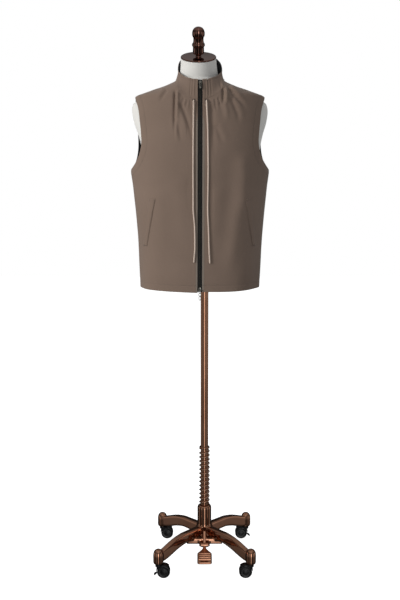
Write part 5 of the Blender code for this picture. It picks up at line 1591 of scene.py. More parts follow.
def collar_cloth():
    angles = collar_angles()
    shares = np.concatenate([np.linspace(0.0, 1.0, COLLAR_ROWS), [0.975, 0.987, 0.995]])
    shares = np.unique(shares)
    angle, up = np.meshgrid(angles, shares)
    middle, normal = collar_surface(angle, up)
    base, normal = turned(middle), unit(rotated(normal, turn_angle(middle[..., 2])))
    seam_base = np.broadcast_to(base[:1], base.shape)
    behind = np.cos(angle) < 0
    at_seam = np.where(behind, relief(seam_base, True), relief(seam_base, False))
    blend = smooth_step(up, 0.0, 0.55)
    out = at_seam * (1.0 - blend) + collar_relief(angle, up)
    out = out + ripples(base[..., 0] * 1.4, base[..., 2], 0.9) * 0.8 * blend
    top = base[-1]
    to_top = distance_to(base, top)
    to_zip = np.minimum(distance_to(base, base[:, 0]), distance_to(base, base[:, -1]))
    rounding = roll_in(np.minimum(to_top, to_zip))
    tuck = groove(distance_to(base, base[0]), *NECK_GROOVE)
    seam = groove(to_top - COLLAR_STITCH, *COLLAR_GROOVE)
    degrees = (np.degrees(angle) + 180.0) % 360.0 - 180.0
    gathered = np.exp(-(((np.abs(degrees) - 15.0) / 12.0) ** 2))
    wavy = 0.35 * MM * np.sin(degrees * 0.21 + 0.8) + gathered * 0.8 * MM * np.sin(degrees * 0.95)
    wavy = wavy + 1.1 * MM * np.exp(-(((degrees - 19.0) / 2.6) ** 2)) * -1.0
    hang = np.zeros_like(base)
    hang[..., 2] = wavy * smooth_step(up, 0.35, 1.0)
    level = (out - tuck - seam)[..., None] * normal
    outer = base + hang + level - rounding[..., None] * normal
    inner = base + hang + level + (rounding - CLOTH)[..., None] * normal
    uv = cloth_uv(outer)
    stitch = np.minimum(np.abs(to_top - COLLAR_STITCH), np.abs(to_zip - ZIP_STITCH))
    fields = {"zip_edge": to_zip + 0.02, "stitch": stitch}
    piece = wall("collar_cloth", outer, inner, [LOOKS["shell_cloth"], LOOKS["dark_lining"]], uv, fields)
    place(piece, "form", "shell_cloth", "collar")
    declare(outer, uv)
    deep = CLOTH + LINING_CLEAR
    keep = slice(3, -3)
    start = base + hang + (out - tuck - seam - deep)[..., None] * normal
    low, high = 2, -2
    lining_outer = start[low:high, keep] - rounding[low:high, keep, None] * normal[low:high, keep]
    lining_inner = start[low:high, keep] - LINING * normal[low:high, keep]
    uv = cloth_uv(lining_outer)
    piece = wall("collar_lining_cloth", lining_outer, lining_inner, [LOOKS["dark_lining"]], uv)
    place(piece, "form", "dark_lining", "collar_lining")
    declare(lining_outer, uv)
    return base, normal, out - tuck - seam, to_zip, to_top, hang


# ---- pockets -------------------------------------------------------------------------------
def welt_grid(side, out):
    share = np.linspace(0.0, 1.0, 46)[:, None]
    across = np.array([0.0, 0.012, 0.035, 0.08, 0.2, 0.35, 0.5, 0.65, 0.8, 0.9, 0.96, 0.985, 1.0])[None, :]
    z = WELT_TOP["z"] + (WELT_BOTTOM["z"] - WELT_TOP["z"]) * share + 0.0 * across
    inner = WELT_TOP["x"] + (WELT_BOTTOM["x"] - WELT_TOP["x"]) * share
    x = inner + WELT_WIDTH * across * (0.95 - 0.25 * share)
    base, normal = vest_base(side * VEST.angle_of(x, z), z)
    base = turned(base + np.array([0.0, -GAP / 2, 0.0]))
    normal = rotated(normal, turn_angle(z))
    level = drape(side * VEST.angle_of(x, z), z) + relief(base, False) + out
    return base, normal, level, share + 0.0 * across, across + 0.0 * share


def pocket_welts():
    """Slanted strips that lie on the fronts, open along their inner edge."""
    made = {}
    for name, side in (("pocket_welt_left", 1), ("pocket_welt_right", -1)):
        base, normal, level, share, across = welt_grid(side, WELT_LIFT)
        height = (WELT_TOP["z"] - WELT_BOTTOM["z"]) * np.minimum(share, 1.0 - share)
        sideways = WELT_WIDTH * 0.8 * np.minimum(across, 1.0 - across)
        edge = np.minimum(height, sideways)
        swell = 1.0 - np.exp(-edge / 0.0014)
        sunk = WELT_LIFT * 0.75 * smooth_step(across, 0.55, 1.0)
        outer = base + (level - sunk + WELT_THICKNESS * swell)[..., None] * normal
        inner = base + (level - sunk - 0.1 * MM)[..., None] * normal
        uv = cloth_uv(outer)
        fields = {"zip_edge": np.full(share.shape, NO_EDGE), "stitch": np.abs(sideways - 0.0022)}
        piece = wall(f"{name}_cloth", outer, inner, [LOOKS["shell_cloth"]], uv, fields)
        place(piece, "form", "shell_cloth", name)
        declare(outer, uv)
        made[name] = (base, normal, level - sunk + WELT_THICKNESS, side)
    return made


# ---- stitches ------------------------------------------------------------------------------
def stitch_frames(line, normals, length=None):
    total = length_of(line)
    count = max(2, int(total / STITCH_PITCH))
    steps = np.concatenate([[0.0], np.cumsum(np.linalg.norm(np.diff(line, axis=0), axis=1))])
    where = np.linspace(0.0, steps[-1], count)
    points = np.stack([np.interp(where, steps, line[:, k]) for k in range(3)], axis=-1)
    ups = unit(np.stack([np.interp(where, steps, normals[:, k]) for k in range(3)], axis=-1))
    return frames_along(points, ups, 0.06 * MM)


def level_line(panel, outer, field, level, rows=None):
    """Where a field reaches a level along each row of a grid, read inwards from the armhole's side."""
    points, normals = [], []
    for i in range(outer.shape[0]) if rows is None else rows:
        values = field[i]
        inside = np.where((values[:-1] - level) * (values[1:] - level) <= 0)[0]
        if not len(inside):
            continue
        j = inside[-1] if not panel.behind else inside[0]
        span = values[j + 1] - values[j]
        t = (level - values[j]) / span if abs(span) > 1e-12 else 0.0
        points.append(outer[i, j] * (1 - t) + outer[i, j + 1] * t)
        normals.append(panel.normal[i, j])
    return np.array(points), np.array(normals)


def stitch_lines(made, collar, welts):
    frames = []
    for name, (panel, outer) in made.items():
        column_z = panel.base[0, :, 2] + HEM_STITCH
        row = np.array([np.interp(column_z[j], panel.base[:, j, 2], np.arange(outer.shape[0]))
                        for j in range(outer.shape[1])])
        low = row.astype(int)
        t = (row - low)[:, None]
        columns = np.arange(outer.shape[1])
        hem = outer[low, columns] * (1 - t) + outer[low + 1, columns] * t
        kept = panel.to_zip[low, columns] > ZIP_STITCH
        frames.append(stitch_frames(hem[kept], panel.normal[low, columns][kept]))
        # the armhole's line, from the shoulder down to below the armpit
        for line, mirrored in zip(panel.armhole_lines, (True, False)):
            points, normals = armhole_stitches(panel, outer, line)
            if len(points) > 4:
                frames.append(stitch_frames(points, normals))
        if not panel.behind:
            points, normals = level_line(panel, outer, panel.to_zip, ZIP_STITCH, range(4, outer.shape[0]))
            points, normals = trimmed(points, normals)
            frames.append(stitch_frames(points, normals))
    base, normal, level, to_zip, to_top, hang = collar
    surface = base + hang + level[..., None] * normal
    rows = int(np.argmin(np.abs(to_top[:, to_top.shape[1] // 2] - 0.0065)))
    frames.append(stitch_frames(surface[rows, 6:-6], normal[rows, 6:-6]))
    for welt_base, welt_normal, welt_level, side in welts.values():
        face = welt_base + welt_level[..., None] * welt_normal
        frames.append(stitch_frames(face[2:-2, 3], welt_normal[2:-2, 3]))
        for row in (1, -2):
            for step in range(2):
                frames.append(stitch_frames(face[row - step * (1 if row < 0 else -1), 1:9],
                                            welt_normal[row, 1:9]))
    return np.concatenate(frames)


def trimmed(points, normals):
    """A line without the steps that jump."""
    keep = np.concatenate([[True], np.linalg.norm(np.diff(points, axis=0), axis=1) < 0.02])
    return points[keep], normals[keep]


def armhole_stitches(panel, outer, line):
    """Points a stitch's distance in from an armhole's edge, on the cloth's outer face."""
    near = outer.reshape(-1, 3)
    normals = panel.normal.reshape(-1, 3)
    tangent = unit(np.gradient(line, axis=0))
    edge_normal = normals[np.array([int(np.argmin(((near - p) ** 2).sum(1))) for p in line])]
    inward = unit(np.cross(edge_normal, tangent))
    towards = np.array([0.0, line[:, 1].mean(), 1.2]) - line
    towards[:, 2] = -0.05
    inward = inward * np.sign((inward * unit(towards)).sum(-1, keepdims=True))
    level = np.zeros_like(inward)
    level[:, 0] = -np.sign(line[:, 0])
    level = unit(level - edge_normal * (level * edge_normal).sum(-1, keepdims=True))
    share = smooth_step(line[:, 2], 1.33, 1.41)[:, None]
    aim = line + unit(inward * (1 - share) + level * share) * ARMHOLE_STITCH
    found, ups = [], []
    for p in aim:
        order = np.argsort(((near - p) ** 2).sum(1))[:4]
        weight = 1.0 / (np.linalg.norm(near[order] - p, axis=1) + 1e-5)
        up = unit((normals[order] * weight[:, None]).sum(0))
        spot = (near[order] * weight[:, None]).sum(0) / weight.sum()
        found.append(p - up * float((p - spot) @ up))
        ups.append(up)
    return np.array(found), np.array(ups)


# ---- zip -----------------------------------------------------------------------------------
def zip_pieces():
    behind = -CLOTH - GAP
    top = ZIP_TOP_Z + ZIP_TOP_TRIM
    heights = np.linspace(ZIP_BOTTOM_Z, top, 220)[:, None]
    deeper = np.where(heights > NECK_FRONT_Z - 0.02, -LINING - GAP, 0.0)
    for name, side in (("zip_tape_left", 1), ("zip_tape_right", -1)):
        x = side * np.array([[TAPE_EDGE_X, 0.0012, 0.0024, *np.linspace(TAPE_INNER_X, TAPE_OUTER_X, 9)]])
        bead = 0.25 * MM * np.exp(-(((np.abs(x) - TAPE_INNER_X - 0.0006) / 0.0005) ** 2))
        outer = front_line(heights, x, behind + deeper + bead)
        inner = front_line(heights, x, behind + deeper - TAPE_THICKNESS)
        uv = cloth_uv(outer)
        tape = wall(f"{name}_weave", outer, inner, [LOOKS["zip_tape"]], uv)
        place(tape, "form", "zip_tape", name)
        declare(outer, uv)
    frames = []
    count = int((top - ZIP_BOTTOM_Z) / TOOTH_PITCH)
    for side in (-1, 1):
        for k in range(count):
            z = ZIP_BOTTOM_Z + 0.002 + TOOTH_PITCH * (k + (0.5 if side > 0 else 0.0))
            if z > top - 0.0006:
                continue
            parted = 0.5 * MM * float(smooth_step(z, TOP_SLIDER_Z - 0.002, top))
            frame_z = np.array(front_frame(z, -1.25 * MM))
            shift = np.eye(4)
            shift[0, 3] = side * (TOOTH_LENGTH / 2 - 0.55 * MM + parted)
            frames.append(frame_z @ shift)
    teeth = many("zip_teeth", capsule(TOOTH_LENGTH, TOOTH_RADIUS, 8, 0.9), frames, LOOKS["zip_chain"])
    place(teeth, "form", "zip_chain", "zip_chain")


def slider_piece(name, z, up_side_down, node):
    """A slider: rounded body that narrows at one end, with a bridge for the pull."""
    frame_z = front_frame(z, SLIDER_LIFT)
    flip = -1.0 if up_side_down else 1.0
    plan, levels = [], []
    for k in range(40):
        a = 2 * pi * k / 40
        c, s = cos(a), sin(a)
        x = SLIDER_WIDTH / 2 * abs(c) ** 0.6 * (1 if c > 0 else -1)
        y = SLIDER_LENGTH / 2 * abs(s) ** 0.6 * (1 if s > 0 else -1)
        x *= 1.0 - 0.16 * (0.5 - flip * y / SLIDER_LENGTH)
        plan.append((x, y))
    plan = np.array(plan)
    profile = [(0.86, 0.0), (0.97, 0.12), (1.0, 0.35), (1.0, 0.62), (0.93, 0.86), (0.78, 0.97), (0.4, 1.0)]
    for scale, height in profile:
        levels.append(np.column_stack([plan * scale, np.full(len(plan), height * SLIDER_DEPTH * 0.6)]))
    points = np.concatenate([*levels, [[0, 0, 0]], [[0, 0, SLIDER_DEPTH * 0.6]]])
    faces = quads(len(levels), len(plan), closed=True)
    last, n = (len(levels) - 1) * len(plan), len(plan)
    for k in range(n):
        m = (k + 1) % n
        faces += [(len(points) - 2, m, k), (len(points) - 1, last + k, last + m)]
    matrix = np.array(frame_z)
    body = mesh_piece(f"{name}_body", through(matrix, points), faces, [LOOKS["zip_metal"]])
    arch = [(0.0, -0.0042 + 0.0084 * t, SLIDER_DEPTH * 0.5 + 0.0021 * sin(pi * t))
            for t in np.linspace(0, 1, 16)]
    arch = np.array(arch) @ matrix[:3, :3].T + matrix[:3, 3]
    bridge = tube_mesh(f"{name}_bridge", arch, 0.00085, 12, LOOKS["zip_metal"])
    both = joined(name, [body, bridge], LOOKS["zip_metal"])
    both.data.shade_smooth()
    place(both, "form", "zip_metal", node)


def zip_sliders():
    slider_piece("zip_slider_top_body", TOP_SLIDER_Z, False, "zip_slider_top")
    slider_piece("zip_slider_bottom_body", BOTTOM_SLIDER_Z, True, "zip_slider_bottom")
    hinge = front_frame(TOP_SLIDER_Z, 0.0) @ Matrix.Translation((0, 0, PULL_LIFT))
    centre = (0.0, PULL_END - TOP_PULL_LENGTH / 2)
    tab = ring_plate("zip_pull_top_tab", oval(PULL_WIDTH, TOP_PULL_LENGTH, centre, 4.0),
                     oval(PULL_WIDTH * 0.42, 0.0050, (0.0, -0.0034), 2.4), PULL_THICKNESS, 0.35 * MM,
                     LOOKS["zip_metal"], hinge)
    place(tab, "pull_top", "zip_metal", "zip_pull_top")
    hinge = front_frame(BOTTOM_SLIDER_Z, 0.0) @ Matrix.Translation((0, 0, PULL_LIFT))
    rings = []
    for name, width, height, middle in (
        ("link_a", 0.0080, 0.0125, PULL_END - 0.0063),
        ("link_b", 0.0078, 0.0100, PULL_END - 0.0165),
        ("link_c", 0.0070, 0.0132, PULL_END - 0.0272),
    ):
        outer = oval(width, height, (0.0, middle), 2.6)
        inner = oval(width - 2 * LINK_WIRE, height - 2 * LINK_WIRE, (0.0, middle), 2.6)
        rings.append(ring_plate(name, outer, inner, PULL_THICKNESS, 0.4 * MM, LOOKS["zip_metal"], hinge))
    pull = joined("zip_pull_bottom_links", rings, LOOKS["zip_metal"])
    pull.data.shade_smooth()
    place(pull, "pull_bottom", "zip_metal", "zip_pull_bottom")


# ---- dress form ----------------------------------------------------------------------------
def form_centre_x(z):
    return POLE_X + (NECK_X - POLE_X) * (z - FORM_BOTTOM_Z) / (CAP_CENTRE.z - FORM_BOTTOM_Z)


def form_torso():
    """The jersey body, and the neck that tilts into its cap, as a shell."""
    angles = 2 * pi * np.arange(FORM_SIDES) / FORM_SIDES
    heights = np.concatenate([
        np.linspace(FORM_BOTTOM_Z, FORM_CHEST_Z, FORM_ROWS_BELOW)[:-1],
        np.linspace(FORM_CHEST_Z, NECK_BASE.z, FORM_ROWS_ABOVE)[:-1]])
    rows = FORM.point(angles[None, :], heights[:, None])
    rows[..., 0] += form_centre_x(heights)[:, None]
    neck = []
    low = np.array(NECK_BASE) + np.array([form_centre_x(NECK_BASE.z), 0.0, 0.0])
    for share in np.linspace(0.0, 1.0, FORM_NECK_ROWS):
        centre = low * (1 - share) + np.array(CAP_CENTRE) * share
        radius = NECK_BASE_RADIUS + (CAP_RADIUS - NECK_BASE_RADIUS) * (1.0 - (1.0 - share) ** 2)
        tilt = np.array(Matrix.Rotation(CAP_TILT * float(smooth_step(share, 0, 1)), 3, "X"))
        ring = np.stack([radius * np.sin(angles), -radius * np.cos(angles), 0 * angles], axis=-1)
        neck.append(centre + ring @ tilt.T)
    outer = np.concatenate([rows, np.array(neck)])
    centres = outer.mean(axis=1, keepdims=True)
    inner = outer - unit(outer - centres) * FORM_WALL
    inner[-1] = inner[-2]
    count, top_rows = FORM_SIDES, outer.shape[0]
    size = count * top_rows
    crown, ceiling = outer[-1].mean(axis=0), inner[-2].mean(axis=0)
    points = np.concatenate([outer.reshape(-1, 3), inner[:-1].reshape(-1, 3), [crown], [ceiling]])
    faces = quads(top_rows, count, closed=True)
    faces += quads(top_rows - 1, count, size, closed=True, flip=True)
    top, under = len(points) - 2, len(points) - 1
    last, inner_last = size - count, size + (top_rows - 2) * count
    for k in range(count):
        n = (k + 1) % count
        faces.append((last + k, last + n, top))
        faces.append((inner_last + n, inner_last + k, under))
        faces.append((n, k, size + k, size + n))
    seam = np.abs(outer[..., 0] - outer[..., 0].mean(axis=1, keepdims=True))
    seam = np.concatenate([seam.ravel(), np.full(len(points) - size, NO_EDGE)])
    flat = cloth_uv(outer)
    uv = np.concatenate([flat.reshape(-1, 2), flat[:-1].reshape(-1, 2), [[0, 0], [0, 0]]])
    torso = mesh_piece("form_torso_jersey", points, faces, [LOOKS["form_jersey"]], sharp=60, uv=uv,
                       fields={"seam": seam})
    place(torso, "form", "form_jersey", "form_torso")


def form_fittings():
    frame_z = Matrix.Translation(CAP_CENTRE) @ Matrix.Rotation(CAP_TILT, 4, "X")
    r, t = CAP_RADIUS, CAP_THICKNESS
    outline = [(0.0, GAP), (r - 0.0012, GAP), (r - 0.0004, GAP + 0.0003), (r, GAP + 0.0009), (r, t - 0.0018),
               (r - 0.0004, t - 0.0009), (r - 0.0014, t - 0.0002), (r - 0.004, t), (0.0, t)]
    # painted shade: the neck cap takes the darker copy of the copper plating
    cap = lathe("neck_cap_plate", outline, LOOKS["shaded_plate"], frame_z, 128)
    place(cap, "form", "copper_plate", "neck_cap")
    above = frame_z @ Matrix.Translation((0, 0, CAP_THICKNESS))
    outline = [(radius, height) for height, radius in FINIAL_OUTLINE[::-1]]
    body = outline[:2] + flowing(outline[1:], 5)[1:]
    # painted shade: the finial takes the darker copy of the copper plating
    finial = lathe("finial_turned", body, LOOKS["shaded_plate"], above, 96, 50.0)
    place(finial, "form", "copper_plate", "finial")
    bore = POLE_RADIUS + RUNNING
    outline = [(bore, -0.018), (0.0164, -0.018), (0.017, -0.0174), (0.017, -0.0082), (0.0176, -0.0062),
               (0.019, -0.0050), (0.026, -0.0042), (FLANGE_RADIUS - 0.0012, -0.0036),
               (FLANGE_RADIUS - 0.0003, -0.0030), (FLANGE_RADIUS, -0.0022), (FLANGE_RADIUS, -GAP), (bore, -GAP)]
    frame_z = Matrix.Translation((POLE_X, 0, FORM_BOTTOM_Z))
    flange = lathe("pole_flange_turned", outline, LOOKS["copper_plate"], frame_z, 72, closed=True)
    place(flange, "form", "copper_plate", "pole_flange")


# ---- stand ---------------------------------------------------------------------------------
def pole_pieces():
    frame_z = Matrix.Translation((POLE_X, 0, 0))
    r, bore = POLE_RADIUS, POLE_RADIUS - POLE_WALL
    outline = [(bore, POLE_BOTTOM_Z), (r - 0.0004, POLE_BOTTOM_Z), (r, POLE_BOTTOM_Z + 0.0004),
               (r, POLE_TOP_Z - 0.0004), (r - 0.0004, POLE_TOP_Z), (bore, POLE_TOP_Z)]
    tube = lathe("pole_tube", outline, LOOKS["copper_plate"], frame_z, 72, closed=True)
    place(tube, "post", "copper_plate", "pole")
    low = SPRING_TOP_Z + GAP
    high, wide = low + STOP_HEIGHT, SPRING_RADIUS + SPRING_WIRE
    outline = [(r + GAP, low), (wide - 0.0012, low), (wide, low + 0.0012), (wide, high - 0.0012),
               (wide - 0.0012, high), (r + GAP, high)]
    stop = lathe("spring_stop_ring", outline, LOOKS["copper_plate"], frame_z, 64, closed=True)
    place(stop, "post", "copper_plate", "spring_stop")
    turns = SPRING_TURNS * SPRING_FINE
    k = np.arange(int(turns) + 1)
    rise = SPRING_TOP_Z - SPRING_BOTTOM_Z - 2 * COIL_WIRE
    angle = 2 * pi * k / SPRING_FINE
    line = np.column_stack([
        POLE_X + SPRING_RADIUS * np.cos(angle), SPRING_RADIUS * np.sin(angle),
        SPRING_BOTTOM_Z + COIL_WIRE + rise * k / turns])
    # painted highlight: the spring's coil takes the lighter copy of the copper plating
    coil = tube_mesh("spring_coil", line, COIL_WIRE, 14, LOOKS["lit_plate"])
    place(coil, "base", "copper_plate", "spring")
    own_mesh(coil)


def leg_frame(number):
    turn = Matrix.Rotation(radians(LEG_AZIMUTHS[number]), 4, "Z")
    return Matrix.Translation((POLE_X, 0, 0)) @ turn


def leg_mesh(number):
    rows = [{**row, "mid": row["z"], "z": row["reach"]} for row in LEG_SECTIONS]
    table = Table(rows)
    reach = np.linspace(LEG_FROM, LEG_SECTIONS[-1]["reach"], 44)
    angles = 2 * pi * (np.arange(LEG_FINE) + 0.5) / LEG_FINE
    c, s = np.cos(angles), np.sin(angles)
    y = table.at("width", reach)[:, None] / 2 * (np.abs(c) ** LEG_SQUARENESS * np.sign(c))[None, :]
    z = table.at("mid", reach)[:, None] + table.at("height", reach)[:, None] / 2 * (
        np.abs(s) ** LEG_SQUARENESS * np.sign(s))[None, :]
    grid = np.stack([np.broadcast_to(reach[:, None], y.shape), y, z], axis=-1)
    points = np.concatenate([grid.reshape(-1, 3), [grid[0].mean(0)], [grid[-1].mean(0)]])
    faces = quads(*grid.shape[:2], closed=True)
    last, n = (grid.shape[0] - 1) * LEG_FINE, LEG_FINE
    for k in range(n):
        m = (k + 1) % n
        faces += [(len(points) - 2, m, k), (len(points) - 1, last + k, last + m)]
    matrix = np.array(leg_frame(number))
    return mesh_piece(f"leg_{number}", through(matrix, points), faces, [LOOKS["copper_plate"]])


def base_cast():
    """Hub, legs, bosses and bracket under one cast skin, with the bores left open."""
    copper = LOOKS["copper_plate"]
    bore = POLE_RADIUS + RUNNING
    low, high = HUB_OUTLINE[-1][1], HUB_OUTLINE[0][1]
    outline = [(bore, high), *HUB_OUTLINE[1:-1], (bore, low)]
    parts = [lathe("hub", outline[::-1], copper, Matrix.Translation((POLE_X, 0, 0)), 96, closed=True)]
    size = (BRIDGE["wide"], BRIDGE["deep"], BRIDGE["high"])
    at = Matrix.Translation((POLE_X, BRIDGE["y"], BRIDGE["z"]))
    parts.append(rounded_box("bridge", size, copper, at, 0.8 * MM))
    room = (LEVER_ROOM["wide"], LEVER_ROOM["deep"], LEVER_ROOM["high"])
    at = Matrix.Translation((POLE_X, LEVER_ROOM["y"], LEVER_ROOM["z"]))
    for part in parts:
        cut_out(part, [rounded_box("room", room, copper, at, 0.0)])
    for number in LEG_AZIMUTHS:
        parts.append(leg_mesh(number))
        top, bottom, r = BOSS_TOP_Z, BOSS_BOTTOM_Z, BOSS_RADIUS
        hole, depth = STEM_RADIUS + RUNNING, STEM_TOP_Z + 1.0 * MM
        dome = [(0.0, top), (0.0062, top - 0.0010), (0.0112, top - 0.0045), (0.0144, top - 0.0105),
                (r, top - 0.0185)]
        outline = [(0.0, depth), (hole, depth), (hole, bottom), (r - 0.001, bottom), (r, bottom + 0.004),
                   *flowing(dome, 4)[::-1]]
        at = Matrix.Translation(leg_frame(number) @ Vector((CASTER_REACH, 0, 0)))
        parts.append(lathe(f"boss_{number}", outline, copper, at, 56))
    size = (BAR["long"], BAR["deep"], BAR["high"] - BAR["low"])
    at = Matrix.Translation((POLE_X, BAR["y"], (BAR["high"] + BAR["low"]) / 2))
    parts.append(rounded_box("bar", size, copper, at, 1.2 * MM))
    for side in (-1, 1):
        size = (LUG_THICKNESS, LUG["deep"], LUG["high"])
        offset = side * (KNUCKLE_LENGTH / 2 + GAP + LUG_THICKNESS / 2)
        at = Matrix.Translation((POLE_X + offset, LUG["y"], LUG["z"]))
        lug = rounded_box(f"lug_{side}", size, copper, at, 0.6 * MM)
        hole = rod("pin_hole", PIN_RADIUS + RUNNING, 0.02, (POLE_X + offset, PEDAL_PIVOT.y, PEDAL_PIVOT.z),
                   copper, "X", 24)
        parts.append(cut_out(lug, [hole]))
    casting = cast(joined("base_cast_skin", parts, copper), CAST_VOXEL, 4)
    place(casting, "base", "copper_plate", "base_casting")


def bar_mesh(name, sections, look, squareness=0.35, sides=32):
    """A bar along Y through rounded oblong sections."""
    ys = np.array([s["y"] for s in sections])
    order = np.argsort(ys)
    fine = np.linspace(ys.min(), ys.max(), 40)
    half, thick, mid = [np.interp(fine, ys[order], np.array([s[key] for s in sections])[order])
                        for key in ("half", "thick", "z")]
    angles = 2 * pi * (np.arange(sides) + 0.5) / sides
    c, s = np.cos(angles), np.sin(angles)
    x = half[:, None] * (np.abs(c) ** squareness * np.sign(c))[None, :]
    z = mid[:, None] + thick[:, None] / 2 * (np.abs(s) ** squareness * np.sign(s))[None, :]
    grid = np.stack([x, np.broadcast_to(fine[:, None], x.shape), z], axis=-1)
    points = np.concatenate([grid.reshape(-1, 3), [grid[0].mean(0)], [grid[-1].mean(0)]])
    faces = quads(*grid.shape[:2], closed=True)
    last = (grid.shape[0] - 1) * sides
    for k in range(sides):
        m = (k + 1) % sides
        faces += [(len(points) - 2, m, k), (len(points) - 1, last + k, last + m)]
    return mesh_piece(name, points, faces, [look])


def pedal_cast():
    copper = LOOKS["copper_plate"]
    parts = [rod("knuckle", KNUCKLE_RADIUS, KNUCKLE_LENGTH, PEDAL_PIVOT, copper, "X", 48, 0.8 * MM),
             rod("pin", PIN_RADIUS, LUG_SPAN, PEDAL_PIVOT, copper, "X", 24)]
    tread = bar_mesh("tread", PEDAL_SECTIONS, copper)
    tread.location.x = POLE_X
    bpy.context.view_layer.update()
    parts.append(tread)
    near, far = PEDAL_SECTIONS[3], PEDAL_SECTIONS[4]
    for k in range(TREAD_RIBS):
        y = FIRST_RIB_Y - RIB_SPACING * k
        share = (y - near["y"]) / (far["y"] - near["y"])
        z = near["z"] + (far["z"] - near["z"]) * share + near["thick"] / 2 + RIB[2] / 5
        parts.append(rounded_box(f"rib_{k}", RIB, copper, Matrix.Translation((POLE_X, y, z)), 1.0 * MM))
    middle, along = (LEVER_ARM_LOW + LEVER_ARM_HIGH) / 2, LEVER_ARM_HIGH - LEVER_ARM_LOW
    at = Matrix.Translation(middle) @ along.to_track_quat("Z", "Y").to_matrix().to_4x4()
    parts.append(rounded_box("arm", (*LEVER_ARM, along.length), copper, at, 0.8 * MM))
    lever = cast(joined("pedal_skin", parts, copper), PEDAL_VOXEL, 1)
    place(lever, "pedal", "copper_plate", "pedal")


# ---- casters -------------------------------------------------------------------------------
def wheel_outline():
    r, near, far = WHEEL_RADIUS, DISC_INNER_Y, DISC_OUTER_Y
    return [(0.0, near), (r - 0.0016, near), (r - 0.0006, near + 0.0004), (r, near + 0.0016),
            (r, far - 0.0020), (r - 0.0005, far - 0.0008), (r - 0.0018, far - 0.0001), (r - 0.0034, far - 0.0002),
            (r - 0.0042, far - 0.0012), (0.0115, far - 0.0018), (0.0078, far - 0.0014), (0.0068, far - 0.0002),
            (0.0045, far), (0.0, far)]


def caster_pieces():
    black, dark = LOOKS["black_plastic"], LOOKS["wheel_plastic"]
    for number in LEG_AZIMUTHS:
        boss = leg_frame(number) @ Vector((CASTER_REACH, 0, 0))
        inward = 1 if boss.x < POLE_X else -1
        axle = boss + Vector((inward * TRAIL, 0, AXLE_Z))
        discs = []
        for side in (-1, 1):
            turn = Matrix.Rotation(-side * pi / 2, 4, "X")
            disc = lathe(f"disc_{side}", wheel_outline(), dark, Matrix.Translation(axle) @ turn, 72, 40)
            discs.append(disc)
        discs.append(rod("axle", AXLE_RADIUS, 2 * DISC_INNER_Y + 0.002, axle, dark, "Y", 24))
        wheels = joined(f"wheels_{number}_moulded", discs, dark)
        wheels.data.shade_smooth()
        wheels.data.set_sharp_from_angle(angle=radians(40))
        place(wheels, f"wheels_{number}", "wheel_plastic", f"wheels_{number}")
        fork_piece(number, boss, axle, inward, black)
        if number in BRAKED_CASTERS:
            brake_piece(number, axle, -inward, black)


def fork_piece(number, boss, axle, inward, black):
    parts = [rod("web", WEB_RADIUS, 2 * WEB_HALF, axle, black, "Y", 48, 0.4 * MM)]
    angles = np.linspace(HOOD_FROM, HOOD_TO, 40)
    half = DISC_OUTER_Y
    bulge = 0.0009
    section = [(HOOD_INNER, -half), (HOOD_OUTER - 0.0010, -half), (HOOD_OUTER - 0.0003, -half + 0.0010),
               (HOOD_OUTER, -half + 0.0035), (HOOD_OUTER, half - 0.0035), (HOOD_OUTER - 0.0003, half - 0.0010),
               (HOOD_OUTER - 0.0010, half), (HOOD_INNER, half)]
    rings = []
    for a in angles:
        c, s = inward * cos(a), sin(a)
        rings.append([(axle.x + r * c, axle.y + y, axle.z + r * s) for r, y in section])
    points = np.array(rings).reshape(-1, 3)
    n = len(section)
    faces = quads(len(rings), n, closed=True)
    faces += [tuple(range(n)), tuple((len(rings) - 1) * n + k for k in reversed(range(n)))]
    parts.append(mesh_piece("hood", points, faces, [black]))
    at = Matrix.Translation(axle + Vector((-inward * FORK_RIB_BACK, 0, FORK_RIB_UP)))
    parts.append(rounded_box("rib", FORK_RIB, black, at, 0.6 * MM))
    for radius, low, high in ((FORK_NECK_RADIUS, FORK_NECK_BOTTOM_Z, FORK_NECK_TOP_Z),
                              (STEM_RADIUS, STEM_BOTTOM_Z, STEM_TOP_Z)):
        middle = boss + Vector((0, 0, (low + high) / 2))
        parts.append(rod("neck", radius, high - low, middle, black, "Z", 40, 0.4 * MM))
    whole = joined(f"fork_{number}_moulded", parts, black)
    cast(whole, FORK_VOXEL, 2)
    rooms = []
    for side in (-1, 1):
        middle = axle + Vector((0, side * (DISC_INNER_Y - GAP + WHEEL_ROOM_WIDTH / 2), 0))
        rooms.append(rod("room", WHEEL_RADIUS + 0.6 * MM, WHEEL_ROOM_WIDTH, middle, black, "Y", 72))
    rooms.append(rod("hole", AXLE_RADIUS + RUNNING, 0.02, axle, black, "Y", 32))
    cut_out(whole, rooms)
    whole.data.shade_smooth()
    whole.data.set_sharp_from_angle(angle=radians(45))
    place(whole, f"caster_{number}", "black_plastic", f"fork_{number}")


def brake_piece(number, axle, out, black):
    pin = axle + Vector((out * BRAKE_REACH, 0, 0))
    blade = bar_mesh("blade", BRAKE_SECTIONS, black, 0.3)
    blade.matrix_world = Matrix.Translation(pin) @ Matrix.Rotation(-out * pi / 2, 4, "Z")
    bpy.context.view_layer.update()
    knuckle = rod("knuckle", BRAKE_KNUCKLE, BRAKE_KNUCKLE_LENGTH, pin, black, "Y", 32, 0.3 * MM)
    lever = joined(f"brake_{number}_moulded", [blade, knuckle], black)
    lever = cast(lever, BRAKE_VOXEL, 2)
    place(lever, f"brake_{number}", "black_plastic", f"brake_{number}")


# ---- floor, lights and surroundings --------------------------------------------------------
def floor_piece():
    mesh = bpy.data.meshes.new("floor")
    r = 8.0
    mesh.from_pydata([(-r, -r, 0), (r, -r, 0), (r, r, 0), (-r, r, 0)], [], [(0, 1, 2, 3)])
    floor = linked("floor", mesh)
    look = Look("pale_floor", 0.9)
    look.set(Base_Color=(0.45, 0.45, 0.45, 1.0), Emission_Color=(1.0, 1.0, 1.0, 1.0),
             Emission_Strength=0.98)
    mesh.materials.append(look.material)
    floor.visible_glossy = False
    floor.visible_diffuse = False


